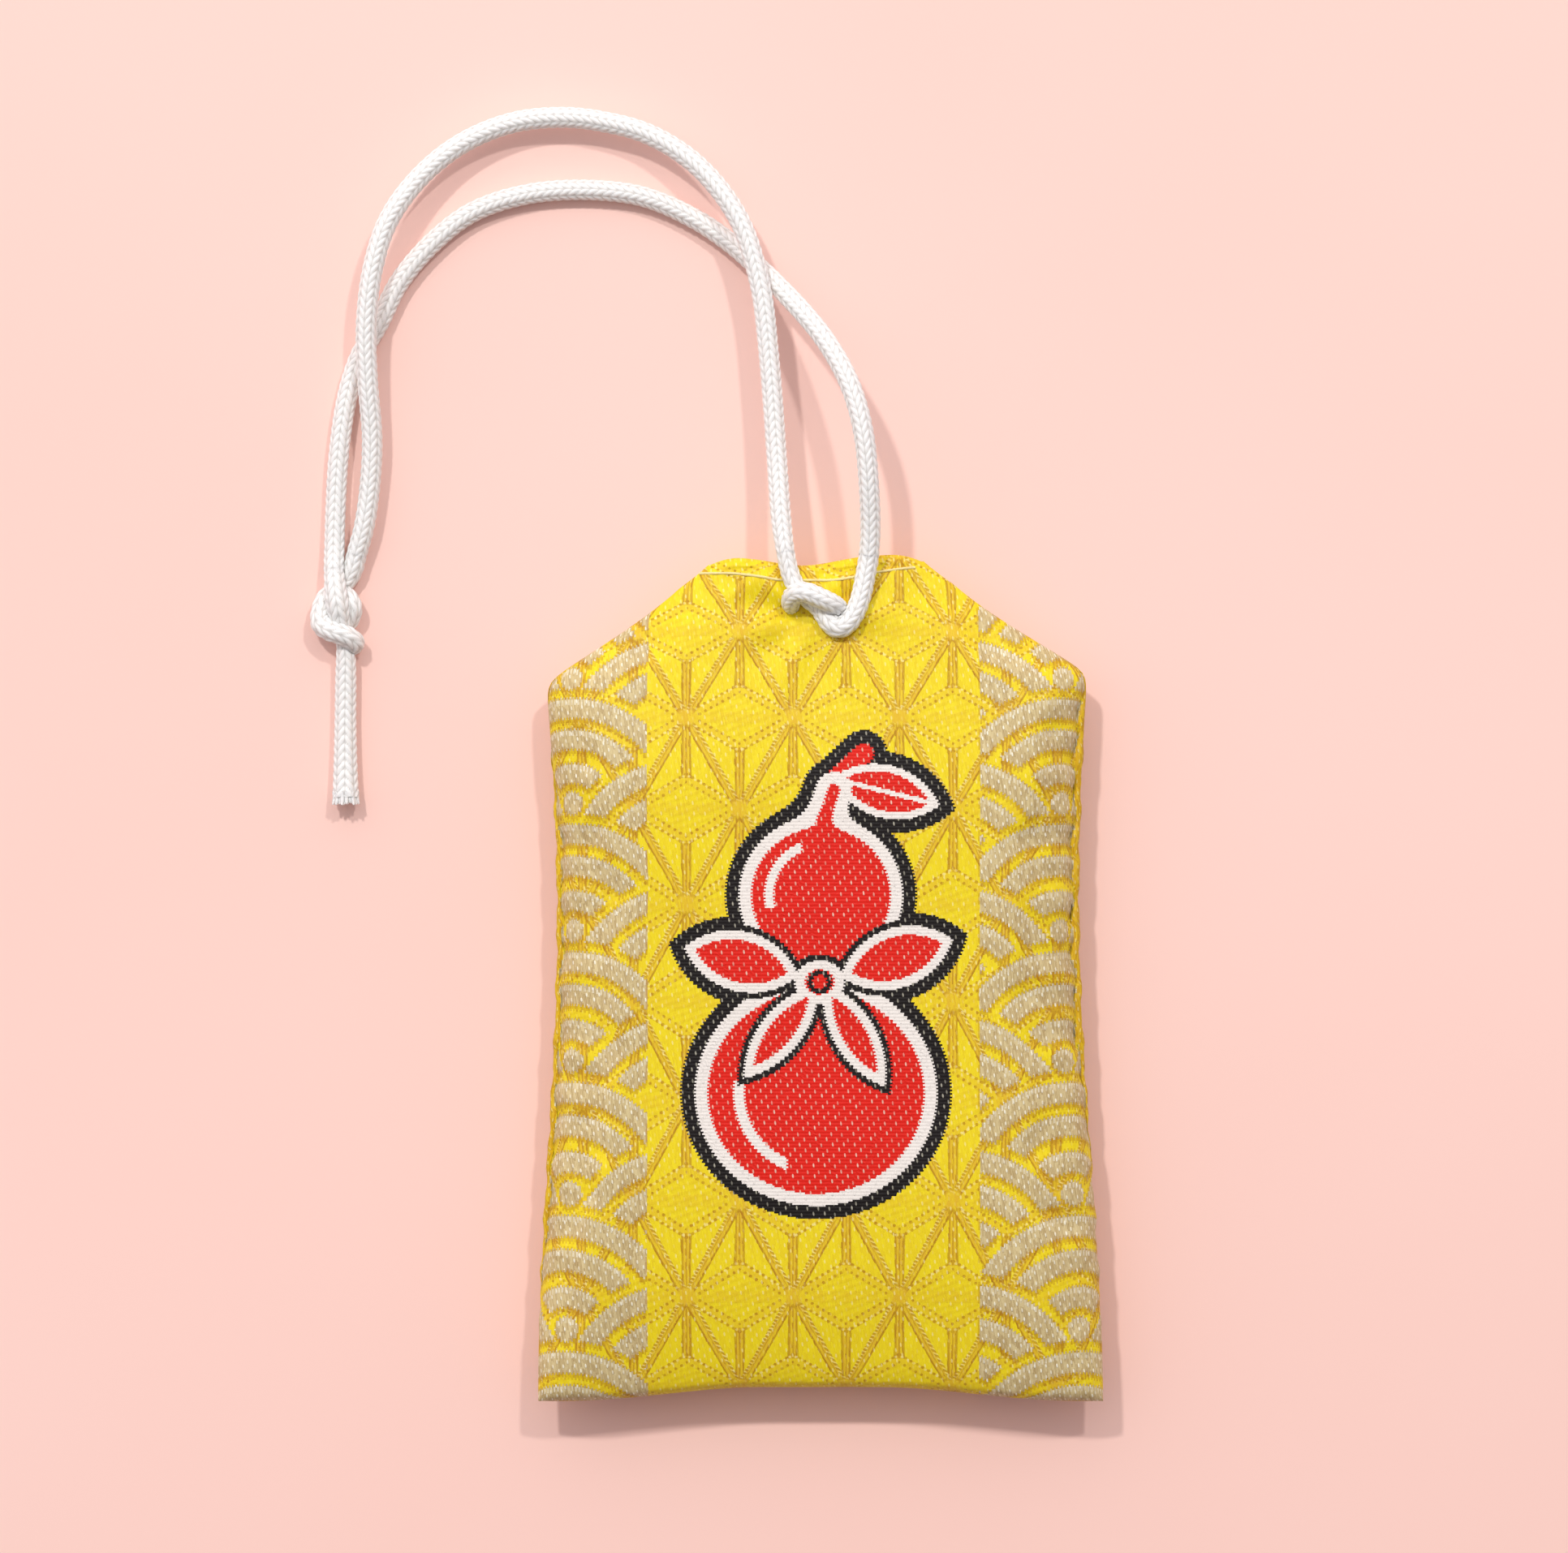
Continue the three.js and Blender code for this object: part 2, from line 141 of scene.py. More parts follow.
class ShaderTree:
    """Short calls for the nodes of one material or node group."""

    def __init__(self, tree: bpy.types.NodeTree) -> None:
        """Keep the tree that the nodes go in."""
        self.tree = tree

    @classmethod
    def group(
        cls, name: str, inputs: Sequence[str], outputs: Sequence[str]
    ) -> tuple["ShaderTree", list[Signal]]:
        """Start a node group whose sockets are all numbers.

        Args:
            name: The group's name.
            inputs: Names of its inputs.
            outputs: Names of its outputs.

        Returns:
            The group's tree and its inputs.
        """
        tree = bpy.data.node_groups.new(name, "ShaderNodeTree")
        for label in inputs:
            tree.interface.new_socket(label, in_out="INPUT", socket_type="NodeSocketFloat")
        for label in outputs:
            tree.interface.new_socket(label, in_out="OUTPUT", socket_type="NodeSocketFloat")
        shader = cls(tree)
        entry = shader.node("NodeGroupInput")
        return shader, [Signal(shader, entry.outputs[label]) for label in inputs]

    def give(self, **values: Value) -> None:
        """Connect a group's outputs, by name."""
        self.set_inputs(self.node("NodeGroupOutput"), values)

    def use(self, group: bpy.types.NodeTree, **values: Value) -> dict[str, Signal]:
        """Place a node group.

        Args:
            group: The group.
            values: What goes into it, by input name.

        Returns:
            Its outputs by name.
        """
        node = self.node("ShaderNodeGroup")
        node.node_tree = group
        self.set_inputs(node, values)
        return {socket.name: Signal(self, socket) for socket in node.outputs}

    def node(self, kind: str, **settings: object) -> bpy.types.Node:
        """Add a node and set its options."""
        node = self.tree.nodes.new(kind)
        for option, value in settings.items():
            setattr(node, option, value)
        return node

    def feed(self, socket: bpy.types.NodeSocket, value: Union[Value, Paint]) -> None:
        """Link a signal to a socket, or write a plain value on it."""
        if isinstance(value, Signal):
            self.tree.links.new(value.socket, socket)
        else:
            socket.default_value = value

    def set_inputs(self, node: bpy.types.Node, values: dict[str, Union[Value, Paint]]) -> None:
        """Link or write inputs of a node, by name."""
        for label, value in values.items():
            self.feed(node.inputs[label], value)

    def math(self, operation: str, *values: Value) -> Signal:
        """Add a Math node and give its result."""
        node = self.node("ShaderNodeMath", operation=operation)
        for socket, value in zip(node.inputs, values):
            self.feed(socket, value)
        return Signal(self, node.outputs[0])

    def length(self, across: Value, along: Value) -> Signal:
        """Distance of a point from the origin."""
        return self.math("SQRT", self.math("MULTIPLY", across, across) + self.math("MULTIPLY", along, along))

    def ease(self, value: Value, low: float, high: float) -> Signal:
        """Rise smoothly from 0 at one value to 1 at another."""
        node = self.node("ShaderNodeMapRange", interpolation_type="SMOOTHSTEP", clamp=True)
        self.set_inputs(node, {"Value": value, "From Min": low, "From Max": high})
        return Signal(self, node.outputs["Result"])

    def mix(self, share: Value, under: Paint, over: Paint, blend: str = "MIX") -> Signal:
        """Lay one colour over another."""
        node = self.node("ShaderNodeMix", data_type="RGBA", blend_type=blend)
        for number, value in zip(MIX_INPUTS, (share, under, over)):
            self.feed(node.inputs[number], value)
        return Signal(self, node.outputs[MIX_RESULT])

    def steps(self, value: Signal, stops: Sequence[tuple[float, float]]) -> Signal:
        """Turn a value into flat steps of grey.

        Args:
            value: From 0 to 1.
            stops: Where each step starts and how bright it is.

        Returns:
            The stepped value.
        """
        ramp = self.node("ShaderNodeValToRGB")
        ramp.color_ramp.interpolation = "CONSTANT"
        elements = ramp.color_ramp.elements
        while len(elements) < len(stops):
            elements.new(1.0)
        for element, (place, grey) in zip(elements, stops):
            element.position = place
            element.color = (grey, grey, grey, 1.0)
        self.feed(ramp.inputs[0], value)
        return Signal(self, ramp.outputs[0])

    def vector(self, across: Value, along: Value, up: Value = 0.0) -> Signal:
        """Put three numbers together as a vector."""
        node = self.node("ShaderNodeCombineXYZ")
        for socket, value in zip(node.inputs, (across, along, up)):
            self.feed(socket, value)
        return Signal(self, node.outputs[0])

    def map_places(self, name: str) -> tuple[Signal, Signal]:
        """Read the two numbers of a UV map."""
        layer = self.node("ShaderNodeUVMap", uv_map=name)
        split = self.node("ShaderNodeSeparateXYZ")
        self.tree.links.new(layer.outputs[0], split.inputs[0])
        return Signal(self, split.outputs[0]), Signal(self, split.outputs[1])

    def object_places(self) -> Signal:
        """Read the place on the piece, in metres."""
        return Signal(self, self.node("ShaderNodeTexCoord").outputs["Object"])

    def attribute(self, name: str) -> Signal:
        """Read a number that the mesh carries."""
        return Signal(self, self.node("ShaderNodeAttribute", attribute_name=name).outputs["Fac"])

    def speckle(self, place: Signal) -> Signal:
        """Give one random number to each whole place."""
        node = self.node("ShaderNodeTexWhiteNoise", noise_dimensions="2D")
        self.feed(node.inputs["Vector"], place)
        return Signal(self, node.outputs["Value"])

    def cloud(self, place: Signal, scale: float, detail: float) -> Signal:
        """Give soft noise at a scale."""
        node = self.node("ShaderNodeTexNoise")
        self.set_inputs(node, {"Vector": place, "Scale": scale, "Detail": detail})
        return Signal(self, node.outputs["Fac"])

    def bump(self, height: Signal, distance: float, strength: float) -> Signal:
        """Turn a height from 0 to 1 into a normal; the distance is in metres."""
        node = self.node("ShaderNodeBump")
        self.set_inputs(node, {"Height": height, "Distance": distance, "Strength": strength})
        return Signal(self, node.outputs["Normal"])


Inputs = dict[str, Union[Signal, float, tuple[float, ...]]]


class Finish:
    """A surface with one Principled shader, whose inputs each finish works out for itself."""

    name: str

    def inputs(self, shader: ShaderTree) -> Inputs:
        """Work out the shader's inputs, by name."""
        raise NotImplementedError

    def material(self) -> bpy.types.Material:
        """Make the material.

        Returns:
            The material, with its inputs linked or written.
        """
        material = bpy.data.materials.new(self.name)
        material.use_nodes = True
        shader = ShaderTree(material.node_tree)
        shader.set_inputs(material.node_tree.nodes["Principled BSDF"], self.inputs(shader))
        return material


class Weave(Enum):
    """Node groups that the woven finishes share."""

    THREADS = "thread_grid"
    HEMP_LEAF = "hemp_leaf_lattice"
    WAVES = "wave_fans"
    GOURD = "gourd_motif"
    FIBRES = "fibre_streaks"


def thread_group() -> bpy.types.NodeTree:
    """Make the thread grid: stepped places for a figure's edge, a random number per float, and pips.

    Returns:
        The group, with places in and out in millimetres.
    """
    shader, (across, along) = ShaderTree.group(
        Weave.THREADS.value, ("Across", "Along"), ("Column", "Tooth", "Random", "Pip", "Chance", "Rib")
    )
    warp, tooth_long = 0.152, 0.19
    strand_wide, strand_lean, float_long, float_shift = 0.13, 0.16, 0.62, 0.13
    pip_wide, pip_long, pip_lean = 0.457, 0.886, 0.12
    pip_half_wide, pip_half_long = 0.09, 0.21

    column = (across / warp).floor()
    tooth = along + (column.wrap(2.0) - 0.5) * tooth_long
    leaning = across + along * strand_lean
    strand = (leaning / strand_wide).floor()
    row = ((along + strand.wrap(5.0) * float_shift) / float_long).floor()
    random = shader.speckle(shader.vector(strand, row))
    rib = (leaning / strand_wide).fold(0.5) * 2.0

    lean = across + along * pip_lean
    pip_column = (lean / pip_wide).floor()
    shifted = along + pip_column.wrap(2.0) * (pip_long / 2)
    pip_row = (shifted / pip_long).floor()
    chance = shader.speckle(shader.vector(pip_column, pip_row))
    beside = (lean - (pip_column + 0.35 + chance * 0.3) * pip_wide).size()
    above = (shifted - (pip_row + 0.4 + chance * 0.2) * pip_long).size()
    pip = shader.ease(shader.length(beside / pip_half_wide, above / pip_half_long), 0.6, 1.0).inverse()
    shader.give(Column=(column + 0.5) * warp, Tooth=tooth, Random=random, Pip=pip, Chance=chance, Rib=rib)
    return shader.tree


def hemp_leaf_group() -> bpy.types.NodeTree:
    """Make the hemp leaf lattice, folded into one right triangle that all its lines lie in.

    Returns:
        The group: places in millimetres go in, masks of dark edges, gold, pale stitches with painted glints,
            and twill come out.
    """
    shader, (across, along) = ShaderTree.group(
        Weave.HEMP_LEAF.value, ("Across", "Along"), ("Edge", "Gold", "Stitch", "Twill")
    )
    # Rows of triangles, which lie a little closer towards both ends of the cloth
    half, row, middle, first_row = 4.43, 8.11, 2.11, -1.84
    closer, low_bend, high_bend, bent_rows = 0.975, 0.0016, 0.0037, 4.2
    down = (first_row - along) / row
    below, above = down.most(0.0), down.least(0.0)
    bent = below.least(bent_rows)
    rows = below * closer + bent * bent * bent * low_bend + above + above * above * above * high_bend
    x = (across - middle).fold(half)
    y = (rows * row).fold(row)
    falling = (rows * row).wrap(2 * row) < row
    over = (y * half - x * row) > 0.0
    upper = (falling - over).size()
    x = x + over * (half - 2.0 * x)
    y = y + over * (row - 2.0 * y)

    # Slanting lines: a twisted thread in the upper halves, a ruled line in the lower ones
    twist_lean, twist_long = 0.42, 0.33
    slant = (x * row - y * half) / math.hypot(half, row)
    twist = ((along + across * twist_lean) / twist_long).wrap(1.0)
    thick = shader.ease(twist, 0.1, 0.3) * shader.ease(twist, 0.5, 0.7).inverse()
    dashed = ((slant - 0.27).size() < 0.13) * upper
    ruled = ((slant - 0.33).size() < 0.075) * upper.inverse()
    middle_line = (slant.size() < 0.04) * 0.55

    # Upright lines: two rails that spread as they leave the star, and the parting between them
    away = (row - y) / (row * 2 / 3)
    beside = half - x
    upright = y > row / 3
    rail = ((beside - (0.27 + away * 0.09)).size() < 0.07 + away * 0.03) * upright
    parting = (beside < 0.035 + away * 0.03) * upright * 0.8

    # Dotted lines: dots on both sides in turn, and painted glints between those of one side
    dot_gap, dot_radius, dot_aside, gleam_radius, gleam_aside = 0.56, 0.125, 0.31, 0.11, 0.26
    tilt = math.hypot(half, row / 3)
    dotted = (y * half - x * (row / 3)) / tilt
    step = (x * half + y * (row / 3)) / tilt
    even = step.wrap(dot_gap) - dot_gap / 2
    odd = (step + dot_gap / 2).wrap(dot_gap) - dot_gap / 2
    high = shader.length(dotted - dot_aside, even) < dot_radius
    low = shader.length(dotted + dot_aside, odd) < dot_radius
    gleam = shader.length(dotted - gleam_aside, odd) < gleam_radius

    # Stars where the lines meet, which stay plain gold
    star_wide, star_high = 1.3, 1.05
    near = shader.length(x / star_wide, y / star_high)
    far = shader.length((half - x) / star_wide, (row - y) / star_high)
    star = shader.ease(near.least(far), 0.45, 0.95).inverse()
    open_field = star.inverse()

    gold = (slant < 0.36).most((beside < 0.34) * upright).most((dotted.size() < 0.42) * 0.5)
    level = (y < 0.5) * (x > 1.2) * 0.3
    dots = high.most(low) * 0.9
    edge = (ruled + dashed * thick.inverse() * 0.7).most(rail * 0.9).most(parting).most(dots)
    edge = edge.most(middle_line) * open_field
    # Pale twisted thread on the dashed lines, and painted glints beside the dots
    stitch = (dashed * thick * 0.6).most(gleam * 0.8) * open_field
    field_inside = (dotted < -0.4) * open_field
    hatch_lean, hatch_long = 0.33, 0.62
    hatch = ((along - across * hatch_lean) / hatch_long).wrap(1.0)
    twill = shader.ease(hatch, 0.15, 0.4) * shader.ease(hatch, 0.6, 0.85).inverse() * field_inside
    shader.give(Edge=edge, Gold=gold.most(star * 0.65).most(level), Stitch=stitch, Twill=twill)
    return shader.tree


def wave_group() -> bpy.types.NodeTree:
    """Make the overlapping wave fans of the side bands, each with a round heart.

    Returns:
        The group: places in millimetres go in, a mask of the pale rings comes out.
    """
    shader, (across, along) = ShaderTree.group(Weave.WAVES.value, ("Across", "Along"), ("Pale",))
    reach, period, first_fan = 10.7, 10.886, -7.635
    middle, outer, spacing = 0.1, 20.6, 9.3
    heart_radius, heart_lift = 1.02, 0.7
    band_left, band_right = -14.5, 13.2
    ring_edges = ((0.0, 0), (2.40, 1), (4.10, 0), (5.31, 1), (7.08, 0), (8.05, 1), (9.80, 0))

    # The fans move outwards towards the foot and lie closer towards the crest
    right = across > middle
    ramp = shader.ease(-1.0 * along, 0.0, 28.0)
    sway = right * (ramp * 1.35 - 0.4) + right.inverse() * (ramp * 0.35 + 0.4)
    side = (across - middle).size() - sway
    drift = along + 3.5
    level = along + drift * drift * 0.00095 - 0.13

    # Of three columns of fans, the lowest fan that reaches a place covers the others
    choices, hearts = [], []
    for place in (-1, 0, 1):
        beside = side - (outer + place * spacing)
        first = first_fan + (period / 2 if place else 0.0)
        room = shader.math("SQRT", (reach * reach - beside * beside).most(0.0))
        base = shader.math("CEIL", (level - room - first) / period) * period + first
        radius = shader.length(beside, level - base)
        missed = (beside.size() > reach) * 100.0
        choices.append((base + radius * 0.01 + missed, radius))
        above = (level - (first + heart_lift - period / 2)).wrap(period) - period / 2
        hearts.append(shader.length(beside, above) < heart_radius)
    front = choices[0][0].least(choices[1][0]).least(choices[2][0])
    radius = sum(((rank - front) < 0.0001) * distance for rank, distance in choices)
    rings = shader.steps(radius / reach, [(edge / reach, grey) for edge, grey in ring_edges])
    heart = hearts[0].most(hearts[1]).most(hearts[2])
    band = (across < band_left).most(across > band_right)
    shader.give(Pale=rings.most(heart) * band)
    return shader.tree


def gourd_group() -> bpy.types.NodeTree:
    """Make the gourd with a bow round its waist in the middle of the face, as distances from outlines.

    Returns:
        The group: places in millimetres go in, masks of the red, white and black weft come out.
    """
    shader, (across, along) = ShaderTree.group(
        Weave.GOURD.value, ("Across", "Along"), ("Red", "White", "Black")
    )

    def ball(x: float, y: float, radius: float, flat: float = 1.0) -> Signal:
        """Distance from a round, wider than it is high by a share."""
        return shader.length((across - x) / flat, along - y) - radius

    def turned(x: float, y: float, lean: float) -> tuple[Signal, Signal]:
        """Place along and beside a line that leans by an angle."""
        dx, dy = across - x, along - y
        axis = dx * math.cos(lean) + dy * math.sin(lean)
        return axis, dy * math.cos(lean) - dx * math.sin(lean)

    def leaf(x: float, y: float, lean: float, long: float, wide: float) -> Signal:
        """Distance from a pointed leaf that leans by an angle."""
        axis, side = turned(x, y, lean)
        radius = (long * long + wide * wide) / (2 * wide)
        return shader.length(axis, side.size() + (radius - wide)) - radius

    def bar(x: float, y: float, lean: float, long: float, radius: float) -> Signal:
        """Distance from a bar with round ends that leans by an angle."""
        axis, side = turned(x, y, lean)
        return shader.length(axis.size().most(long) - long, side) - radius

    body = shader.math("SMOOTH_MIN", ball(-0.4, -9.4, 9.4, 1.07), ball(0.0, 7.0, 6.6, 1.03), 7.0)
    body = shader.math("SMOOTH_MIN", body, bar(0.7, 14.6, 1.25, 1.2, 1.5), 2.4)
    stalk = bar(2.3, 17.6, 0.75, 1.7, 0.85)
    leaves = leaf(5.4, 15.6, -0.25, 4.6, 2.2)
    loops = leaf(-6.6, 1.5, 2.9, 4.9, 2.5).least(leaf(6.3, 1.8, 0.32, 4.9, 2.5))
    ends = leaf(-3.3, -4.3, 0.9, 5.0, 1.75).least(leaf(2.8, -4.6, 2.1, 5.0, 1.75))
    bow = loops.least(ends).least(ball(-0.1, -0.2, 1.8, 1.15))
    form = body.least(bow).least(stalk).least(leaves)
    shine = (ball(-0.4, -9.4, 6.4).size() < 0.45) * (across < -2.8) * (along < -8.4)
    gleam = (ball(0.0, 7.0, 4.3).size() < 0.38) * (across < -1.6) * (along > 6.0)
    knot = ball(-0.1, -0.2, 0.8)
    tied = bow < 0.0
    seam = ((bow < 0.5) * (body < 0.0)).most(knot.size() < 0.2) * (bow > 0.0).most(knot.size() < 0.2)
    band = (bow > -0.75).least(tied).most((body > -1.0) * (body < 0.0) * tied.inverse())
    rim = ((leaves > -0.6) * (leaves < 0.0)).most(((across - 5.4) * 0.25 + along - 15.6).size() < 0.2)
    rim = rim * (leaves < 0.0) * (body > 0.0)
    white = band.most(shine * tied.inverse()).most(gleam).most(rim) * seam.inverse()
    inside = form < 0.0
    black = ((form < 1.1) * (form > 0.0)).most(seam)
    red = inside * white.inverse() * black.inverse()
    shader.give(Red=red, White=white, Black=black)
    return shader.tree


def fibre_group() -> bpy.types.NodeTree:
    """Make fine streaks along a thread.

    Returns:
        The group: places in millimetres and a twist go in, a streak from 0 to 1 comes out.
    """
    shader, (along, around, twist) = ShaderTree.group(
        Weave.FIBRES.value, ("Along", "Around", "Twist"), ("Streak",)
    )
    place = shader.vector(along * 0.9, (around + along * twist) * 9.0)
    shader.give(Streak=shader.cloud(place, 1.0, 2.0))
    return shader.tree


WEAVES: dict[Weave, Callable[[], bpy.types.NodeTree]] = {
    Weave.THREADS: thread_group,
    Weave.HEMP_LEAF: hemp_leaf_group,
    Weave.WAVES: wave_group,
    Weave.GOURD: gourd_group,
    Weave.FIBRES: fibre_group,
}


def weave(kind: Weave) -> bpy.types.NodeTree:
    """Give a shared node group, made on its first use."""
    return bpy.data.node_groups.get(kind.value) or WEAVES[kind]()


@dataclass(frozen=True)
class BrocadeFinish(Finish):
    """Satin brocade with a hemp leaf ground, wave fans at the sides and a gourd in the middle."""

    name: str = "brocade"
    ground: Colour = srgb(248, 227, 28)
    shade: Colour = srgb(226, 190, 24)
    gold: Colour = srgb(230, 187, 42)
    ochre: Colour = srgb(182, 126, 16)
    gilt: Colour = srgb(255, 241, 156)
    pale: Colour = srgb(224, 206, 153)
    dull: Colour = srgb(164, 134, 80)
    pip: Colour = srgb(255, 251, 226)
    red: Colour = srgb(229, 28, 8)
    white: Colour = srgb(246, 240, 232)
    black: Colour = srgb(18, 11, 9)
    # Painted shade in the hollows between threads; the ridges keep the full colour
    hollow: Colour = (0.6, 0.55, 0.5, 1.0)
    ridge: Colour = (1.0, 1.0, 1.0, 1.0)

    def ground_colour(self, shader: ShaderTree, across: Signal, along: Signal) -> tuple[Signal, Signal]:
        """Weave the yellow ground with its hemp leaves.

        Args:
            shader: The tree to work in.
            across: Place across the cloth.
            along: Place along the cloth.

        Returns:
            The colour, and the height of the leaves over the ground.
        """
        threads = shader.use(weave(Weave.THREADS), Across=across, Along=along)
        random, chance = threads["Random"], threads["Chance"]
        leaf = shader.use(weave(Weave.HEMP_LEAF), Across=across + (random - 0.5) * 0.07, Along=along)
        colour = shader.mix(random * 0.42 + leaf["Twill"] * 0.2, self.ground, self.shade)
        colour = shader.mix(leaf["Gold"] * (0.5 + random * 0.45), colour, self.gold)
        colour = shader.mix(leaf["Edge"] * (0.52 + random * 0.34), colour, self.ochre)
        # Pale twisted thread, and painted glints beside the dots
        colour = shader.mix(leaf["Stitch"] * (0.4 + chance * 0.5), colour, self.gilt)
        colour = shader.mix(threads["Pip"] * (0.15 + (chance > 0.55) * 0.45), colour, self.gilt)
        return colour, leaf["Gold"] * 0.2 - leaf["Edge"] * 0.45 + leaf["Twill"] * 0.08

    def inputs(self, shader: ShaderTree) -> Inputs:
        """Weave the brocade, laid out by the cloth map."""
        across, along = shader.map_places(CLOTH_MAP)
        threads = shader.use(weave(Weave.THREADS), Across=across, Along=along)
        random, pip, chance, rib = (threads[name] for name in ("Random", "Pip", "Chance", "Rib"))
        column, tooth = threads["Column"], threads["Tooth"]

        # Silver fans: painted shade on toothed edges, painted shadow below, painted highlights atop floats
        waves = weave(Weave.WAVES)
        pale = shader.use(waves, Across=column, Along=tooth)["Pale"]
        # Painted shade along the toothed edges of the raised fans
        edge_shade = (pale - shader.use(waves, Across=column + 0.1, Along=tooth - 0.16)["Pale"]).size()
        plain = pale.inverse()
        over = shader.use(waves, Across=column, Along=tooth + 0.45)["Pale"]
        # Painted shadow of the raised fans on the ground just below them
        shadow = over * plain
        # Painted highlight on the top ends of the floats, where they catch the light
        crown_highlight = pale * over.inverse() * (tooth > along) * (0.14 + chance * 0.45)
        spark = pip * pale * (0.55 + chance * 0.45)

        # Gourd: its edges step with the weft
        pick = 0.145
        weft = (along / pick).floor()
        weft_line = (along / (2 * pick)).fold(0.5) * 2.0
        stepped = {"Across": across + (weft.wrap(2.0) - 0.5) * 0.17, "Along": (weft + 0.5) * pick}
        gourd = shader.use(weave(Weave.GOURD), **stepped)
        motif = gourd["Red"].most(gourd["White"]).most(gourd["Black"])

        colour, leaves = self.ground_colour(shader, across, along)
        # Painted shadow under the silver fans
        colour = shader.mix(shadow * (0.3 + random * 0.35), colour, self.ochre)
        silver = shader.mix(random * (0.3 + rib.inverse() * 0.7), self.pale, self.dull)
        colour = shader.mix(pale, colour, silver)
        # Painted shade along the fans' edges
        colour = shader.mix(edge_shade * 0.4 * (chance > 0.35), colour, self.ochre)
        # Pale pips on the silver, and the painted highlight on the top ends of the floats
        colour = shader.mix(spark.most(crown_highlight), colour, self.pip)
        dyed = shader.mix(gourd["Red"], self.white, self.red)
        dyed = shader.mix(gourd["Black"], dyed, self.black)
        fleck = pip * (gourd["Red"] * 0.58 + gourd["Black"] * 0.4) * (0.35 + chance * 0.65)
        dyed = shader.mix(fleck, dyed, self.pip)
        colour = shader.mix(motif, colour, dyed)
        # Painted shade: the hollows between threads, and between weft picks on the gourd, are multiplied
        # darker
        groove = shader.mix(shader.mix(motif, rib, weft_line), self.hollow, self.ridge)
        colour = shader.mix(0.16, colour, groove, "MULTIPLY")

        height = pip * 0.4 * pale.most(motif) + random * 0.2 + pale * 0.35 + rib * 0.12 + leaves * plain
        height = height + motif * (0.3 + weft_line * 0.25)
        return {
            "Base Color": colour,
            "Roughness": 0.5 - spark * 0.2 - pale * 0.06 + random * 0.1,
            "Normal": shader.bump(height, 0.00011, 0.7),
            "Specular IOR Level": 0.27,
            "Sheen Weight": 0.02,
        }


@dataclass(frozen=True)
class EdgeFinish(Finish):
    """Plain side of the brocade, where the back panel's edge rolls round to the front."""

    name: str = "brocade_edge"
    ground: Colour = srgb(232, 196, 22)
    shade: Colour = srgb(190, 138, 10)
    pip: Colour = srgb(246, 228, 150)

    def inputs(self, shader: ShaderTree) -> Inputs:
        """Weave the plain satin, laid out by the cloth map."""
        across, along = shader.map_places(CLOTH_MAP)
        threads = shader.use(weave(Weave.THREADS), Across=across, Along=along)
        random, pip = threads["Random"], threads["Pip"]
        colour = shader.mix(random * 0.8, self.ground, self.shade)
        return {
            "Base Color": shader.mix(pip * 0.5, colour, self.pip),
            "Roughness": 0.52 + random * 0.12,
            "Normal": shader.bump(pip * 0.5 + random * 0.4, 0.0001, 0.7),
            "Specular IOR Level": 0.4,
        }


@dataclass(frozen=True)
class CordFinish(Finish):
    """Silky thread of a braided cord or a sewing thread; its relief and glow depth are in metres."""

    name: str = "cord_silk"
    top: Colour = srgb(247, 248, 245)
    # Painted shade in the grooves between stitches; the fibre streaks take this colour too
    groove: Colour = srgb(211, 209, 204)
    twist: float = 0.6
    relief: float = 0.00004
    glow: float = 0.4
    glow_radius: tuple[float, float, float] = (1.0, 0.95, 0.9)
    glow_depth: float = 0.0006

    def inputs(self, shader: ShaderTree) -> Inputs:
        """Colour the thread by the cord map and the depth of the stitches, with painted shade in the
        grooves.
        """
        along, around = shader.map_places(CORD_MAP)
        depth = shader.attribute(STITCH)
        streak = shader.use(weave(Weave.FIBRES), Along=along, Around=around, Twist=self.twist)["Streak"]
        # Painted shade: darker in the grooves between stitches, the full colour on top
        colour = shader.mix(shader.ease(depth, 0.04, 0.62), self.groove, self.top)
        return {
            "Base Color": shader.mix(shader.ease(streak, 0.35, 0.75) * 0.16, colour, self.groove),
            "Roughness": 0.46 + streak * 0.16 - depth * 0.12,
            "Normal": shader.bump(streak, self.relief, 0.5),
            "Specular IOR Level": 0.45,
            "Sheen Weight": 0.2,
            "Subsurface Weight": self.glow,
            "Subsurface Radius": self.glow_radius,
            "Subsurface Scale": self.glow_depth,
        }


@dataclass(frozen=True)
class FillingFinish(Finish):
    """Dull fibrous surface of the wadding, the board or the paper inside; its relief is in metres."""

    name: str
    base: Colour
    speck: Colour
    grain: float
    relief: float

    def inputs(self, shader: ShaderTree) -> Inputs:
        """Speckle the surface by the place on the piece."""
        place = shader.object_places()
        coarse = shader.cloud(place, self.grain, 4.0)
        fine = shader.cloud(place, self.grain * 6.0, 2.0)
        specks = shader.ease(coarse * 0.6 + fine * 0.4, 0.42, 0.62)
        return {
            "Base Color": shader.mix(specks, self.base, self.speck),
            "Roughness": 0.82 + fine * 0.15,
            "Normal": shader.bump(coarse * 0.5 + fine * 0.5, self.relief, 0.8),
        }


@dataclass(frozen=True)
class FloorFinish(Finish):
    """Plain pale paper under the charm."""

    name: str = "pale_paper"
    base: Colour = srgb(254, 216, 205)
    tint: Colour = srgb(253, 212, 200)

    def inputs(self, shader: ShaderTree) -> Inputs:
        """Tint the paper unevenly."""
        cloud = shader.cloud(shader.object_places(), 9.0, 3.0)
        return {
            "Base Color": shader.mix(shader.ease(cloud, 0.3, 0.7), self.base, self.tint),
            "Roughness": 0.85,
            "Specular IOR Level": 0.15,
        }


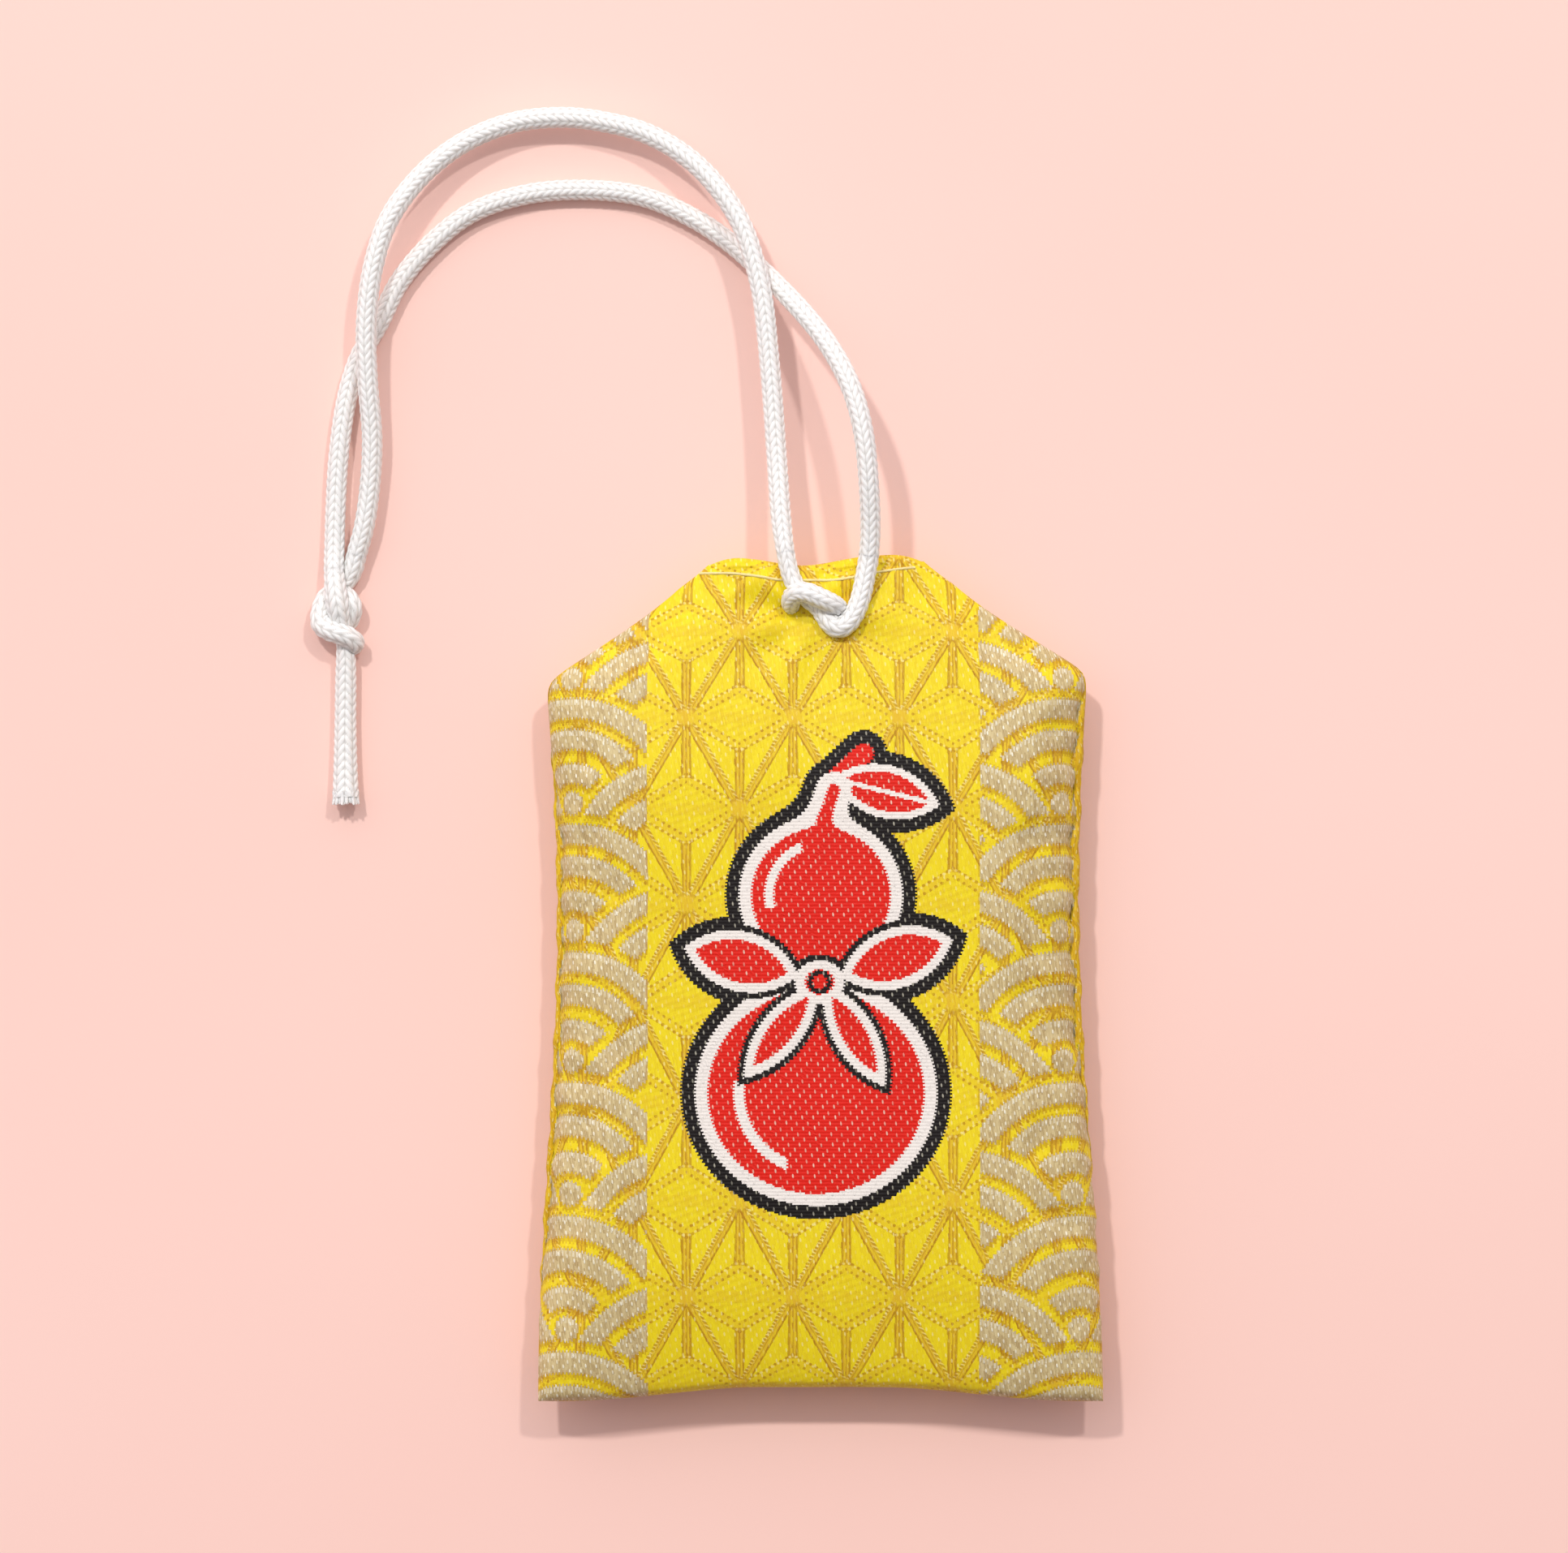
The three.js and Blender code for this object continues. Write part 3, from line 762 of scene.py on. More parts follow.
def dress(piece: bpy.types.Object, *materials: bpy.types.Material) -> None:
    """Give a piece its materials in place of what it had."""
    piece.data.materials.clear()
    for material in materials:
        piece.data.materials.append(material)


def write_points(piece: bpy.types.Object, places: np.ndarray) -> None:
    """Move every vertex of a piece to a place in millimetres."""
    piece.data.vertices.foreach_set("co", (places * MM).astype(np.float32).ravel())
    piece.data.update()


def read_points(piece: bpy.types.Object) -> np.ndarray:
    """Give the places of a piece's vertices, in metres."""
    places = np.empty(3 * len(piece.data.vertices), np.float32)
    piece.data.vertices.foreach_get("co", places)
    return places.reshape(-1, 3).astype(float)


def write_map(piece: bpy.types.Object, name: str, places: np.ndarray) -> None:
    """Write a UV map of its own from one pair of numbers per vertex."""
    mesh = piece.data
    while mesh.uv_layers:
        mesh.uv_layers.remove(mesh.uv_layers[0])
    corners = np.empty(len(mesh.loops), np.int32)
    mesh.loops.foreach_get("vertex_index", corners)
    layer = mesh.uv_layers.new(name=name)
    layer.uv.foreach_set("vector", places[corners].astype(np.float32).ravel())


def write_numbers(piece: bpy.types.Object, name: str, kind: str, values: np.ndarray) -> None:
    """Give each vertex of a piece a number: INT for whole ones, FLOAT for others."""
    layer = piece.data.attributes.new(name, kind, "POINT")
    layer.data.foreach_set("value", values.astype(np.int32 if kind == "INT" else np.float32))


def add_grid(name: str, columns: int, rows: int) -> tuple[bpy.types.Object, np.ndarray, np.ndarray]:
    """Add a flat grid to be shaped.

    Args:
        name: The object's name.
        columns: Number of faces across.
        rows: Number of faces along.

    Returns:
        The grid, and the row and the column of each of its vertices.
    """
    bpy.ops.object.select_all(action="DESELECT")
    bpy.ops.mesh.primitive_grid_add(x_subdivisions=columns, y_subdivisions=rows, size=2)
    grid = bpy.context.object
    grid.name = name
    grid.data.name = name
    places = read_points(grid)
    row = np.rint((places[:, 1] + 1) / 2 * rows).astype(int)
    column = np.rint((places[:, 0] + 1) / 2 * columns).astype(int)
    return grid, row, column


def select_only(*pieces: bpy.types.Object) -> None:
    """Select pieces and nothing else, with the first as the active one."""
    bpy.ops.object.select_all(action="DESELECT")
    for piece in pieces:
        piece.select_set(True)
    bpy.context.view_layer.objects.active = pieces[0]


def weld(pieces: Sequence[bpy.types.Object], close: bool = False) -> bpy.types.Object:
    """Join pieces, merge the vertices that meet and point the faces outwards.

    Args:
        pieces: What is joined, into the first.
        close: Whether open ends are filled.

    Returns:
        The joined piece, shaded smooth but for the rims of filled ends.
    """
    select_only(*pieces)
    if len(pieces) > 1:
        bpy.ops.object.join()
    bpy.ops.object.mode_set(mode="EDIT")
    bpy.ops.mesh.select_all(action="SELECT")
    bpy.ops.mesh.remove_doubles(threshold=0.000001)
    if close:
        bpy.ops.mesh.select_all(action="SELECT")
        bpy.ops.mesh.fill_holes(sides=0)
    bpy.ops.mesh.select_all(action="SELECT")
    bpy.ops.mesh.normals_make_consistent(inside=False)
    bpy.ops.object.mode_set(mode="OBJECT")
    if close:
        bpy.ops.object.shade_smooth_by_angle(angle=math.radians(70))
    else:
        bpy.ops.object.shade_smooth()
    return pieces[0]


def quarter_round(distance: np.ndarray, reach: float) -> np.ndarray:
    """Rise as a quarter round from 0 at an edge to 1 at a reach inside it."""
    share = np.clip(distance / reach, 0, 1)
    return np.sqrt(1 - (1 - share) ** 2)


def smooth_step(value: np.ndarray, low: float, high: float) -> np.ndarray:
    """Rise smoothly from 0 at one value to 1 at another."""
    share = np.clip((value - low) / (high - low), 0, 1)
    return share * share * (3 - 2 * share)


def between(value: np.ndarray, start: float, full: float, fade: float, end: float) -> np.ndarray:
    """Rise from 0 to 1 between the first two values and fall back between the last two."""
    return smooth_step(value, start, full) * (1 - smooth_step(value, fade, end))


def bell(distance: np.ndarray, width: float) -> np.ndarray:
    """Fall from 1 in the middle to next to nothing two widths away."""
    return np.exp(-((distance / width) ** 2))


def soft_least(first: np.ndarray, second: np.ndarray, soft: float) -> np.ndarray:
    """Take the smaller of two, with the corner between them rounded."""
    return -soft * np.log(np.exp(-first / soft) + np.exp(-second / soft))


def weigh(t: np.ndarray, low: float, high: float, start: np.ndarray, end: np.ndarray) -> np.ndarray:
    """Go evenly from one row of numbers to another as t goes from low to high."""
    return (high - t) / (high - low) * start + (t - low) / (high - low) * end


def smooth_path(points: Sequence[Sequence[float]], step: float) -> np.ndarray:
    """Run a centripetal Catmull-Rom curve through points, as the CAD model does.

    Args:
        points: Rows of numbers, of which the first three are a place.
        step: Distance between the points of the result.

    Returns:
        Evenly spaced rows with the same numbers.
    """
    rows = np.array(points, float)
    rows = np.vstack([2 * rows[0] - rows[1], rows, 2 * rows[-1] - rows[-2]])
    gaps = np.sqrt(np.linalg.norm(np.diff(rows[:, :3], axis=0), axis=1))
    knots = np.concatenate([[0], np.cumsum(gaps)])
    dense = []
    for first in range(len(rows) - 3):
        a, b, c, d = rows[first : first + 4]
        ta, tb, tc, td = knots[first : first + 4]
        t = np.linspace(tb, tc, SPAN_STEPS, endpoint=False)[:, None]
        ab, bc, cd = weigh(t, ta, tb, a, b), weigh(t, tb, tc, b, c), weigh(t, tc, td, c, d)
        abc, bcd = weigh(t, ta, tc, ab, bc), weigh(t, tb, td, bc, cd)
        dense.append(weigh(t, tb, tc, abc, bcd))
    line = np.vstack(dense + [rows[-2:-1]])
    lengths = np.concatenate([[0], np.cumsum(np.linalg.norm(np.diff(line[:, :3], axis=0), axis=1))])
    places = np.linspace(0, lengths[-1], int(lengths[-1] / step) + 1)
    return np.stack([np.interp(places, lengths, line[:, k]) for k in range(line.shape[1])], 1)


def carry_frame(line: np.ndarray) -> tuple[np.ndarray, np.ndarray]:
    """Carry a pair of cross directions along a line without twisting them.

    Args:
        line: Places along the line.

    Returns:
        An upward and a sideways direction for each place.
    """
    ahead = np.gradient(line, axis=0)
    ahead /= np.linalg.norm(ahead, axis=1)[:, None]
    up = np.array([0.0, 0.0, 1.0]) - ahead[0] * ahead[0][2]
    ups = []
    for direction in ahead:
        up = up - direction * (up @ direction)
        up = up / np.linalg.norm(up)
        ups.append(up)
    ups = np.array(ups)
    return ups, np.cross(ahead, ups)


@dataclass(frozen=True)
class Braid:
    """Cross section of a cord: how its stitches stand out of a round."""

    sides: int = 48
    columns: int = 8
    pitch: float = 0.74
    slant: float = 1.15
    relief: float = 0.15

    def stitches(self, along: np.ndarray, turn: np.ndarray) -> np.ndarray:
        """Give the height of the stitches, from 0 in a groove to 1 on a stitch.

        Args:
            along: Distance along the cord.
            turn: Place round it, from 0 to 1.

        Returns:
            The height at each place.
        """
        column = turn * self.columns
        across = column % 1
        leg = np.where(np.floor(column) % 2 == 0, across, 1 - across)
        phase = along / self.pitch - self.slant * leg
        loop = np.abs(np.sin(np.pi * phase)) ** 0.75
        return loop * (1 - 0.75 * np.abs(2 * across - 1) ** 3)


@dataclass(frozen=True)
class Plies:
    """Cross section of a sewing thread: plies that wind round each other."""

    sides: int = 12
    plies: int = 3
    pitch: float = 0.9
    relief: float = 0.06

    def stitches(self, along: np.ndarray, turn: np.ndarray) -> np.ndarray:
        """Give the height of the plies, from 0 in a groove to 1 on a ply."""
        return np.abs(np.sin(np.pi * (self.plies * turn + along / self.pitch))) ** 0.8


Section = Union[Braid, Plies]


@dataclass
class CordLine:
    """The middle line of a cord, with its radius and its cross directions at each place."""

    points: Sequence[Sequence[float]]
    section: Section
    step: float = 0.11
    rows: np.ndarray = field(init=False)
    up: np.ndarray = field(init=False)
    side: np.ndarray = field(init=False)

    def __post_init__(self) -> None:
        """Run the smooth line through the points."""
        self.rows = smooth_path(self.points, self.step)
        self.up, self.side = carry_frame(self.rows[:, :3])

    def nearest(self, place: Sequence[float]) -> int:
        """Find the row that is nearest to a place."""
        return int(np.argmin(np.linalg.norm(self.rows[:, :3] - np.array(place[:3]), axis=1)))

    def length(self, first: int, last: int) -> float:
        """Measure the cord between two rows."""
        return float(np.linalg.norm(np.diff(self.rows[first : last + 1, :3], axis=0), axis=1).sum())

    def tube(self, name: str, first: int = 0, last: Optional[int] = None) -> bpy.types.Object:
        """Make a stretch of the cord.

        Args:
            name: The piece's name.
            first: Row that it starts at.
            last: Row that it ends at, or the end of the cord.

        Returns:
            The closed tube, with its stitches in its mesh, its cord map and the depth of each stitch.
        """
        last = len(self.rows) - 1 if last is None else last
        sides = self.section.sides
        grid, row, column = add_grid(name, sides, last - first)
        row = row + first
        turn = (column % sides) / sides
        along = row * self.step
        height = self.section.stitches(along, turn)
        radius = self.rows[row, 3]
        out = radius * (1 + self.section.relief * (height - MEAN_STITCH))
        angle = 2 * np.pi * turn
        outward = np.cos(angle)[:, None] * self.up[row] + np.sin(angle)[:, None] * self.side[row]
        write_points(grid, self.rows[row, :3] + outward * out[:, None])
        write_map(grid, CORD_MAP, np.stack([along, column / sides * 2 * np.pi * radius], 1))
        write_numbers(grid, STITCH, "FLOAT", height)
        return weld([grid], close=True)


# How the cloth of the pouch takes the pressure of its filling
CLOTH_SETTINGS: dict[str, Union[int, float, bool]] = {
    "quality": 6,
    "mass": 0.25,
    "tension_stiffness": 18,
    "compression_stiffness": 18,
    "shear_stiffness": 8,
    "bending_stiffness": 1.2,
    "use_pressure": True,
    "uniform_pressure_force": 4.0,
    "shrink_min": -0.02,
}


@dataclass
class Pouch:
    """The brocade pouch: two panels that meet at the fold, the side seams and the mouth.

    Levels are counted up from the fold. The bead is the strip of the back's edge that shows outside a seam.
    """

    length: float = 70.8
    foot_width: float = 47.3
    waist_width: float = 43.8
    waist_level: float = 41.4
    shoulder_level: float = 60.5
    crest_width: float = 17.6
    thickness: float = 7.6
    crest_thickness: float = 2.6
    crest_lift: float = 0.4
    taper_level: float = 49.4
    side_roll: float = 5.5
    foot_roll: float = 0.8
    foot_reach: float = 22.0
    foot_share: float = 0.3
    crest_roll: float = 1.2
    back_spread: float = 1.08
    crest_dip: float = 0.8
    crest_round: float = 0.6
    foot_bow: float = 1.1
    foot_bow_reach: float = 14.0
    mouth_depth: float = 4.0
    mouth_gap: float = 0.7
    bead_right: float = 0.66
    bead_left: float = 0.5
    bead_height: float = 0.5
    corner_lift: float = 0.8
    corner_reach: tuple[float, float] = (4.5, 7.0)
    corner_soft: float = 0.6
    shoulder_share: float = 0.41
    back_strip: float = 0.4
    lean: float = -0.0052
    tie_middle: tuple[float, float] = (-0.35, 30.9)
    columns: int = 128
    rows: int = 168
    turned_in: float = 0.05
    holes: tuple[tuple[float, float], ...] = ((-2.4, 31.05), (1.5, 31.0))
    hem: tuple[tuple[float, float], ...] = (
        (-10.3, 33.9), (-7.4, 33.9), (-5.0, 33.6), (-3.5, 33.3), (1.1, 33.3), (2.45, 33.5), (4.2, 33.9),
        (6.1, 34.2), (7.9, 34.4),
    )

    def body_half(self, level: np.ndarray) -> np.ndarray:
        """Half the width of the body at a level above the fold, without the cut shoulders."""
        away = np.sin(np.abs(level - self.waist_level) / self.waist_level * np.pi / 2) ** 2
        return self.waist_width / 2 + (self.foot_width - self.waist_width) / 2 * away

    def cut_half(self, level: np.ndarray) -> np.ndarray:
        """Half the width between the cut shoulders, which are a little hollow, at a level above the fold."""
        share = np.clip((level - self.shoulder_level) / (self.length - self.shoulder_level), -1, 1)
        corner = self.waist_width / 2 + self.shoulder_share * (self.foot_width - self.waist_width) / 2
        hollow = (0.6 + share) * np.sin(np.pi * np.clip(share, 0, 1))
        return corner - (corner - self.crest_width / 2) * share - hollow + 0.2

    def half_width(self, level: np.ndarray) -> np.ndarray:
        """Half the width of the outline at a level above the fold."""
        return soft_least(self.body_half(level), self.cut_half(level), self.corner_soft)

    def middle(self, level: np.ndarray) -> np.ndarray:
        """Sideways place of the middle line, which leans a little."""
        return self.lean * level

    def taper(self, level: np.ndarray) -> np.ndarray:
        """0 on the full thickness, 1 at the thin crest."""
        share = np.clip((level - self.taper_level) / (self.length - self.taper_level), 0, 1)
        return np.sin(share * np.pi / 2) ** 2

    def seam_plane(self, level: np.ndarray) -> np.ndarray:
        """Height of the seam at a level."""
        return self.thickness / 2 + self.crest_lift * self.taper(level)

    def foot_rise(self, level: np.ndarray) -> np.ndarray:
        """Share of the full height near the fold: a short roll first, then a gentle rise."""
        short = quarter_round(level, self.foot_roll)
        return self.foot_share * short + (1 - self.foot_share) * quarter_round(level, self.foot_reach)

    def inset(self, x: np.ndarray, level: np.ndarray) -> np.ndarray:
        """Distance of a point from the side outline, square to it."""
        slope = (self.waist_width - self.crest_width) / 2 / (self.length - self.shoulder_level)
        beside = self.body_half(level) - np.abs(x)
        shoulder = (self.cut_half(level) - np.abs(x)) / math.hypot(1, slope)
        return np.maximum(soft_least(beside, shoulder, self.corner_soft), 0)

    def bead(self, x: np.ndarray, level: np.ndarray) -> np.ndarray:
        """Width of the strip of the back's edge that shows outside the seam, by side and level."""
        right = between(level, 18, 34, 57.5, 60) * self.bead_right
        left = between(level, 6, 18, 46, 56) * self.bead_left
        uneven = 1 + 0.22 * np.sin(level * 1.9) + 0.18 * np.sin(level * 0.83 + 1)
        return np.where(x > 0, right, left) * uneven + 0.001

    def corner_rise(self, inset: np.ndarray, level: np.ndarray) -> np.ndarray:
        """How far the two corners of the fold curl up from the seam's plane."""
        return self.corner_lift * bell(inset, self.corner_reach[0]) * bell(level, self.corner_reach[1])

    def half_thickness(self, level: np.ndarray) -> np.ndarray:
        """Height of the face over the seam's plane, without its rounded edges."""
        taper = self.taper(level)
        return self.thickness / 2 * (1 - taper) + self.crest_thickness / 2 * taper

    def face_height(self, x: np.ndarray, level: np.ndarray, bead: bool) -> np.ndarray:
        """Height of the face at a point that is counted from the middle line.

        Args:
            x: Place across.
            level: Place above the fold.
            bead: Whether the rolled edge outside the seam is there.

        Returns:
            The height above the table.
        """
        edge = self.inset(x, level)
        width = self.bead(x, level) if bead else np.zeros(np.shape(x))
        full = quarter_round(edge - width, self.side_roll) * self.foot_rise(level)
        full = full * quarter_round(self.length - level, self.crest_roll)
        height = self.half_thickness(level) * full
        if bead:
            share = np.clip(edge / width, 0, 1)
            held = self.bead_height * width / self.bead_right
            height = height + held * np.sqrt(np.maximum(1 - (2 * share - 1) ** 2, 0))
        return self.seam_plane(level) + height + self.gathers(x, level) * full

    def gathers(self, x: np.ndarray, level: np.ndarray) -> np.ndarray:
        """Small folds where the tie draws the crest together."""
        y = level - self.length / 2
        dx, dy = x - self.tie_middle[0], y - self.tie_middle[1]
        pleat = 0.22 * np.cos(7 * np.arctan2(dy, dx) + 0.8) * bell(np.hypot(dx, dy) - 4.5, 2.6)
        fold = -0.35 * bell(x - 5.9, 0.55) * np.clip((y - 30.5) / 3, 0, 1)
        humps = 0.45 * bell(np.abs(x) - 6.2, 2.4) * np.clip((y - 31) / 3, 0, 1)
        dents = sum(-0.6 * np.exp(-(((x - hx) ** 2 + (y - hy) ** 2) / 1.6)) for hx, hy in self.holes)
        return pleat + fold + humps + dents

    def back_height(self, x: np.ndarray, level: np.ndarray) -> np.ndarray:
        """Height of the back at a point; it is flat where it lies on the table."""
        full = quarter_round(self.inset(x, level), self.side_roll) * self.foot_rise(level)
        full = full * quarter_round(self.length - level, self.crest_roll)
        drop = self.half_thickness(level) * self.back_spread * full
        return np.maximum(0.0, self.seam_plane(level) - drop)

    def along(self, x: np.ndarray, level: np.ndarray) -> np.ndarray:
        """Place along the pouch: the crest dips in the middle and at its ends, and the fold bows up."""
        top = np.clip((level - self.shoulder_level) / (self.length - self.shoulder_level), 0, 1)
        bottom = np.clip(1 - level / self.foot_bow_reach, 0, 1) ** 2
        dip = self.crest_dip * top * bell(x + 1.0, 3.7)
        tilt = (0.018 * smooth_step(level, 48, self.shoulder_level) * (1 - top) + 0.015 * top) * x
        ends = np.clip((level - self.length + 2.5) / 2.5, 0, 1) * np.clip((np.abs(x) - 6.2) / 2.6, 0, 1) ** 2
        bow = self.foot_bow * bottom * (1 - smooth_step(np.abs(x), 5.0, 20.5))
        return level - self.length / 2 - dip + tilt - self.crest_round * ends + bow

    def panel(self, columns: int, rows: int, front: bool, bead: bool) -> tuple[np.ndarray, np.ndarray]:
        """Lay out one panel as a grid of places.

        Args:
            columns: Number of faces across.
            rows: Number of faces along, the turned-in mouth among them.
            front: Whether it is the face or the back.
            bead: Whether the face has the rolled edge outside the seam.

        Returns:
            Places by row and column, counted from the middle line, and the level of each.
        """
        lip_reach, tiny = 0.9, 1e-9
        share = np.linspace(0, 1, rows + 1)[:, None]
        body = np.clip(share / (1 - self.turned_in), 0, 1)
        inward = np.clip((share - (1 - self.turned_in)) / self.turned_in, 0, 1)
        level = self.length * (1 - np.cos(np.pi * body)) / 2
        across = np.sin(np.linspace(-1, 1, columns + 1) * np.pi / 2)[None, :]
        level, across, inward = np.broadcast_arrays(level, across, inward)
        x = across * self.half_width(level)
        y = self.along(x, level)
        z = self.face_height(x, level, bead) if front else self.back_height(x, level)
        seam = self.seam_plane(level)
        open_mouth = np.clip(1 - (2 * x / (self.crest_width - 1)) ** 2, 0, 1) ** 0.5
        lip = self.mouth_gap / 2 * open_mouth * (1 if front else -1)
        z = z + lip * quarter_round(level - self.length + lip_reach, lip_reach)
        y = y - self.mouth_depth * open_mouth * inward
        z = np.where(inward > 0, seam + lip * (1 - inward), z)
        edge = (np.abs(across) > 1 - tiny) | (share < tiny) | (share > 1 - tiny)
        z = np.where(edge, seam, z)
        return np.stack([x, y, z], -1), level

    def cloth_places(self, places: np.ndarray, inset: np.ndarray, front: bool) -> np.ndarray:
        """Lay the pattern on a panel: as seen on the flat, and by the length of the cloth on the rolls.

        Args:
            places: The panel's places by row and column.
            inset: Distance of each from the side outline.
            front: Whether it is the face; the back carries on from the fold, the other way up.

        Returns:
            Two pattern numbers for each place, in millimetres.
        """
        roll_width, fold_share, fold_gap = 2.0, 0.13, 4.0
        rows, columns = inset.shape
        step = np.diff(places, axis=1)
        rolled = (inset[:, 1:] + inset[:, :-1]) / 2 < roll_width
        width = np.where(rolled, np.hypot(step[..., 0], step[..., 2]), np.abs(step[..., 0]))
        across = np.concatenate([np.zeros((rows, 1)), np.cumsum(width, axis=1)], 1)
        across = across - across[:, columns // 2][:, None] + places[:, columns // 2, 0][:, None]
        rise = np.diff(places, axis=0)
        near_fold = (np.arange(rows - 1) < rows * fold_share)[:, None]
        height = np.where(near_fold, np.hypot(rise[..., 1], rise[..., 2]), rise[..., 1])
        middle = rows // 2
        along = np.concatenate([np.zeros((1, columns)), np.cumsum(height, axis=0)], 0)
        along = along - along[middle] + places[middle, :, 1]
        if not front:
            along = -self.length - fold_gap - along
        return np.stack([across, along], -1)

    def settle(self) -> dict[bool, np.ndarray]:
        """Let the filling press the cloth out in a simulation of a coarse copy, ten times as large.

        Returns:
            How far the cloth moves, in millimetres, by panel, row and column of the coarse copy.
        """
        columns, rows, enlarge, frames = 56, 80, 10.0, 20
        held_from, most_moved = 0.9, 0.35
        parts, starts = [], {}
        for front in (True, False):
            part, row, column = add_grid("settling_cloth", columns, rows)
            starts[front], _ = self.panel(columns, rows, front, bead=False)
            write_points(part, starts[front][row, column] * enlarge)
            for label, values in (("row", row), ("column", column), ("face", np.full(len(row), int(front)))):
                write_numbers(part, label, "INT", values)
            parts.append(part)
        cloth = weld(parts)
        labels = {}
        for label in ("row", "column", "face"):
            labels[label] = np.empty(len(cloth.data.vertices), np.int32)
            cloth.data.attributes[label].data.foreach_get("value", labels[label])
        held = (labels["row"] <= 1) | (labels["row"] >= rows * held_from)
        held |= (labels["column"] <= 1) | (labels["column"] >= columns - 1)
        sewn = cloth.vertex_groups.new(name="sewn")
        sewn.add([int(index) for index in np.flatnonzero(held)], 1.0, "REPLACE")
        before = read_points(cloth)

        press = cloth.modifiers.new("press", "CLOTH")
        for option, value in CLOTH_SETTINGS.items():
            setattr(press.settings, option, value)
        press.settings.vertex_group_mass = sewn.name
        press.settings.effector_weights.gravity = 0.0
        press.collision_settings.use_collision = False
        press.point_cache.frame_start = 1
        press.point_cache.frame_end = frames
        scene = bpy.context.scene
        for number in range(1, frames + 1):
            scene.frame_set(number)
        select_only(cloth)
        bpy.ops.object.modifier_apply(modifier=press.name)
        moved = (read_points(cloth) - before) / (enlarge * MM)
        scene.frame_set(1)

        far = np.linalg.norm(moved, axis=1)
        LOG.info("settled cloth moves %.2f mm at most, %.2f mm on average", far.max(), far.mean())
        moved = moved * np.minimum(1, most_moved / np.maximum(far, 1e-9))[:, None]
        shifts = {front: np.zeros_like(places) for front, places in starts.items()}
        for front, shift in shifts.items():
            own = (labels["face"] == int(front)) & ~held
            shift[labels["row"][own], labels["column"][own]] = moved[own]
        bpy.data.objects.remove(cloth, do_unlink=True)
        return shifts

    def spread(self, shift: np.ndarray) -> np.ndarray:
        """Spread the coarse copy's movement over the fine panel, across and then along."""
        for axis, count in ((1, self.columns), (0, self.rows)):
            last = shift.shape[axis] - 1
            place = np.linspace(0, last, count + 1)
            low = np.minimum(place.astype(int), last - 1)
            share = np.expand_dims(place - low, (1 - axis, 2))
            shift = np.take(shift, low, axis) * (1 - share) + np.take(shift, low + 1, axis) * share
        return shift

    def ripples(self, places: np.ndarray, inset: np.ndarray) -> np.ndarray:
        """Small unevenness of padded cloth, with puckers beside the side seams."""
        lift = np.zeros(inset.shape)
        for index in np.ndindex(inset.shape):
            x, y, _ = places[index]
            soft = noise.noise(Vector((x * 0.11, y * 0.09, 3.0))) * 0.16
            pucker = noise.noise(Vector((math.copysign(4.0, x), y * 0.42, 7.0))) * 0.3
            edge = inset[index]
            lift[index] = soft * min(1.0, edge / 3) + pucker * math.exp(-((edge - 2.0) / 1.6) ** 2)
        return lift

    def waver(self, level: np.ndarray) -> np.ndarray:
        """Small sideways wander of the sewn edges, with none at the fold and the shoulders."""
        wander = 0.07 * np.sin(level * 1.31) + 0.05 * np.sin(level * 2.93 + 1)
        return wander * between(level, 4, 10, 52, 58)

    def build(self, brocade: bpy.types.Material, edge: bpy.types.Material) -> bpy.types.Object:
        """Make the pouch and dress it.

        Args:
            brocade: Finish of the panels.
            edge: Finish of the rolled edge outside the seams.

        Returns:
            The pouch, which rides on its body.
        """
        shifts = self.settle()
        parts = []
        for front in (True, False):
            part, row, column = add_grid("pouch_cloth", self.columns, self.rows)
            places, level = self.panel(self.columns, self.rows, front, bead=front)
            inset = self.inset(places[..., 0], level)
            bead = self.bead(places[..., 0], level) if front else np.full(inset.shape, self.back_strip)
            sway = np.sign(places[..., 0]) * self.waver(level) * np.exp(-inset / 0.8)
            places[..., 0] += sway + self.middle(level)
            pattern = self.cloth_places(places, inset, front)
            inner = np.clip((inset - bead) / 1.5, 0, 1)
            inner[[0, -1]] = 0
            if shifts:
                calm = smooth_step(level, 3, 12) * smooth_step(inset, 0.5, 4)
                places = places + self.spread(shifts[front]) * (inner * calm)[..., None]
            if front:
                places[..., 2] += self.ripples(places, inset) * inner * smooth_step(level, 1, 5)
            places[..., 2] = np.maximum(places[..., 2] + self.corner_rise(inset, level), 0.0)
            write_points(part, places[row, column])
            write_map(part, CLOTH_MAP, pattern[row, column])
            strip = inset < bead
            strip &= np.linspace(0, 1, self.rows + 1)[:, None] < 1 - self.turned_in
            on_strip = strip[row, column]
            index = [int(all(on_strip[v] for v in face.vertices)) for face in part.data.polygons]
            dress(part, brocade, edge)
            part.data.polygons.foreach_set("material_index", index)
            parts.append(part)
        pouch = weld(parts)
        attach(pouch, "pouch")
        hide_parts("brocade_pouch")
        return pouch

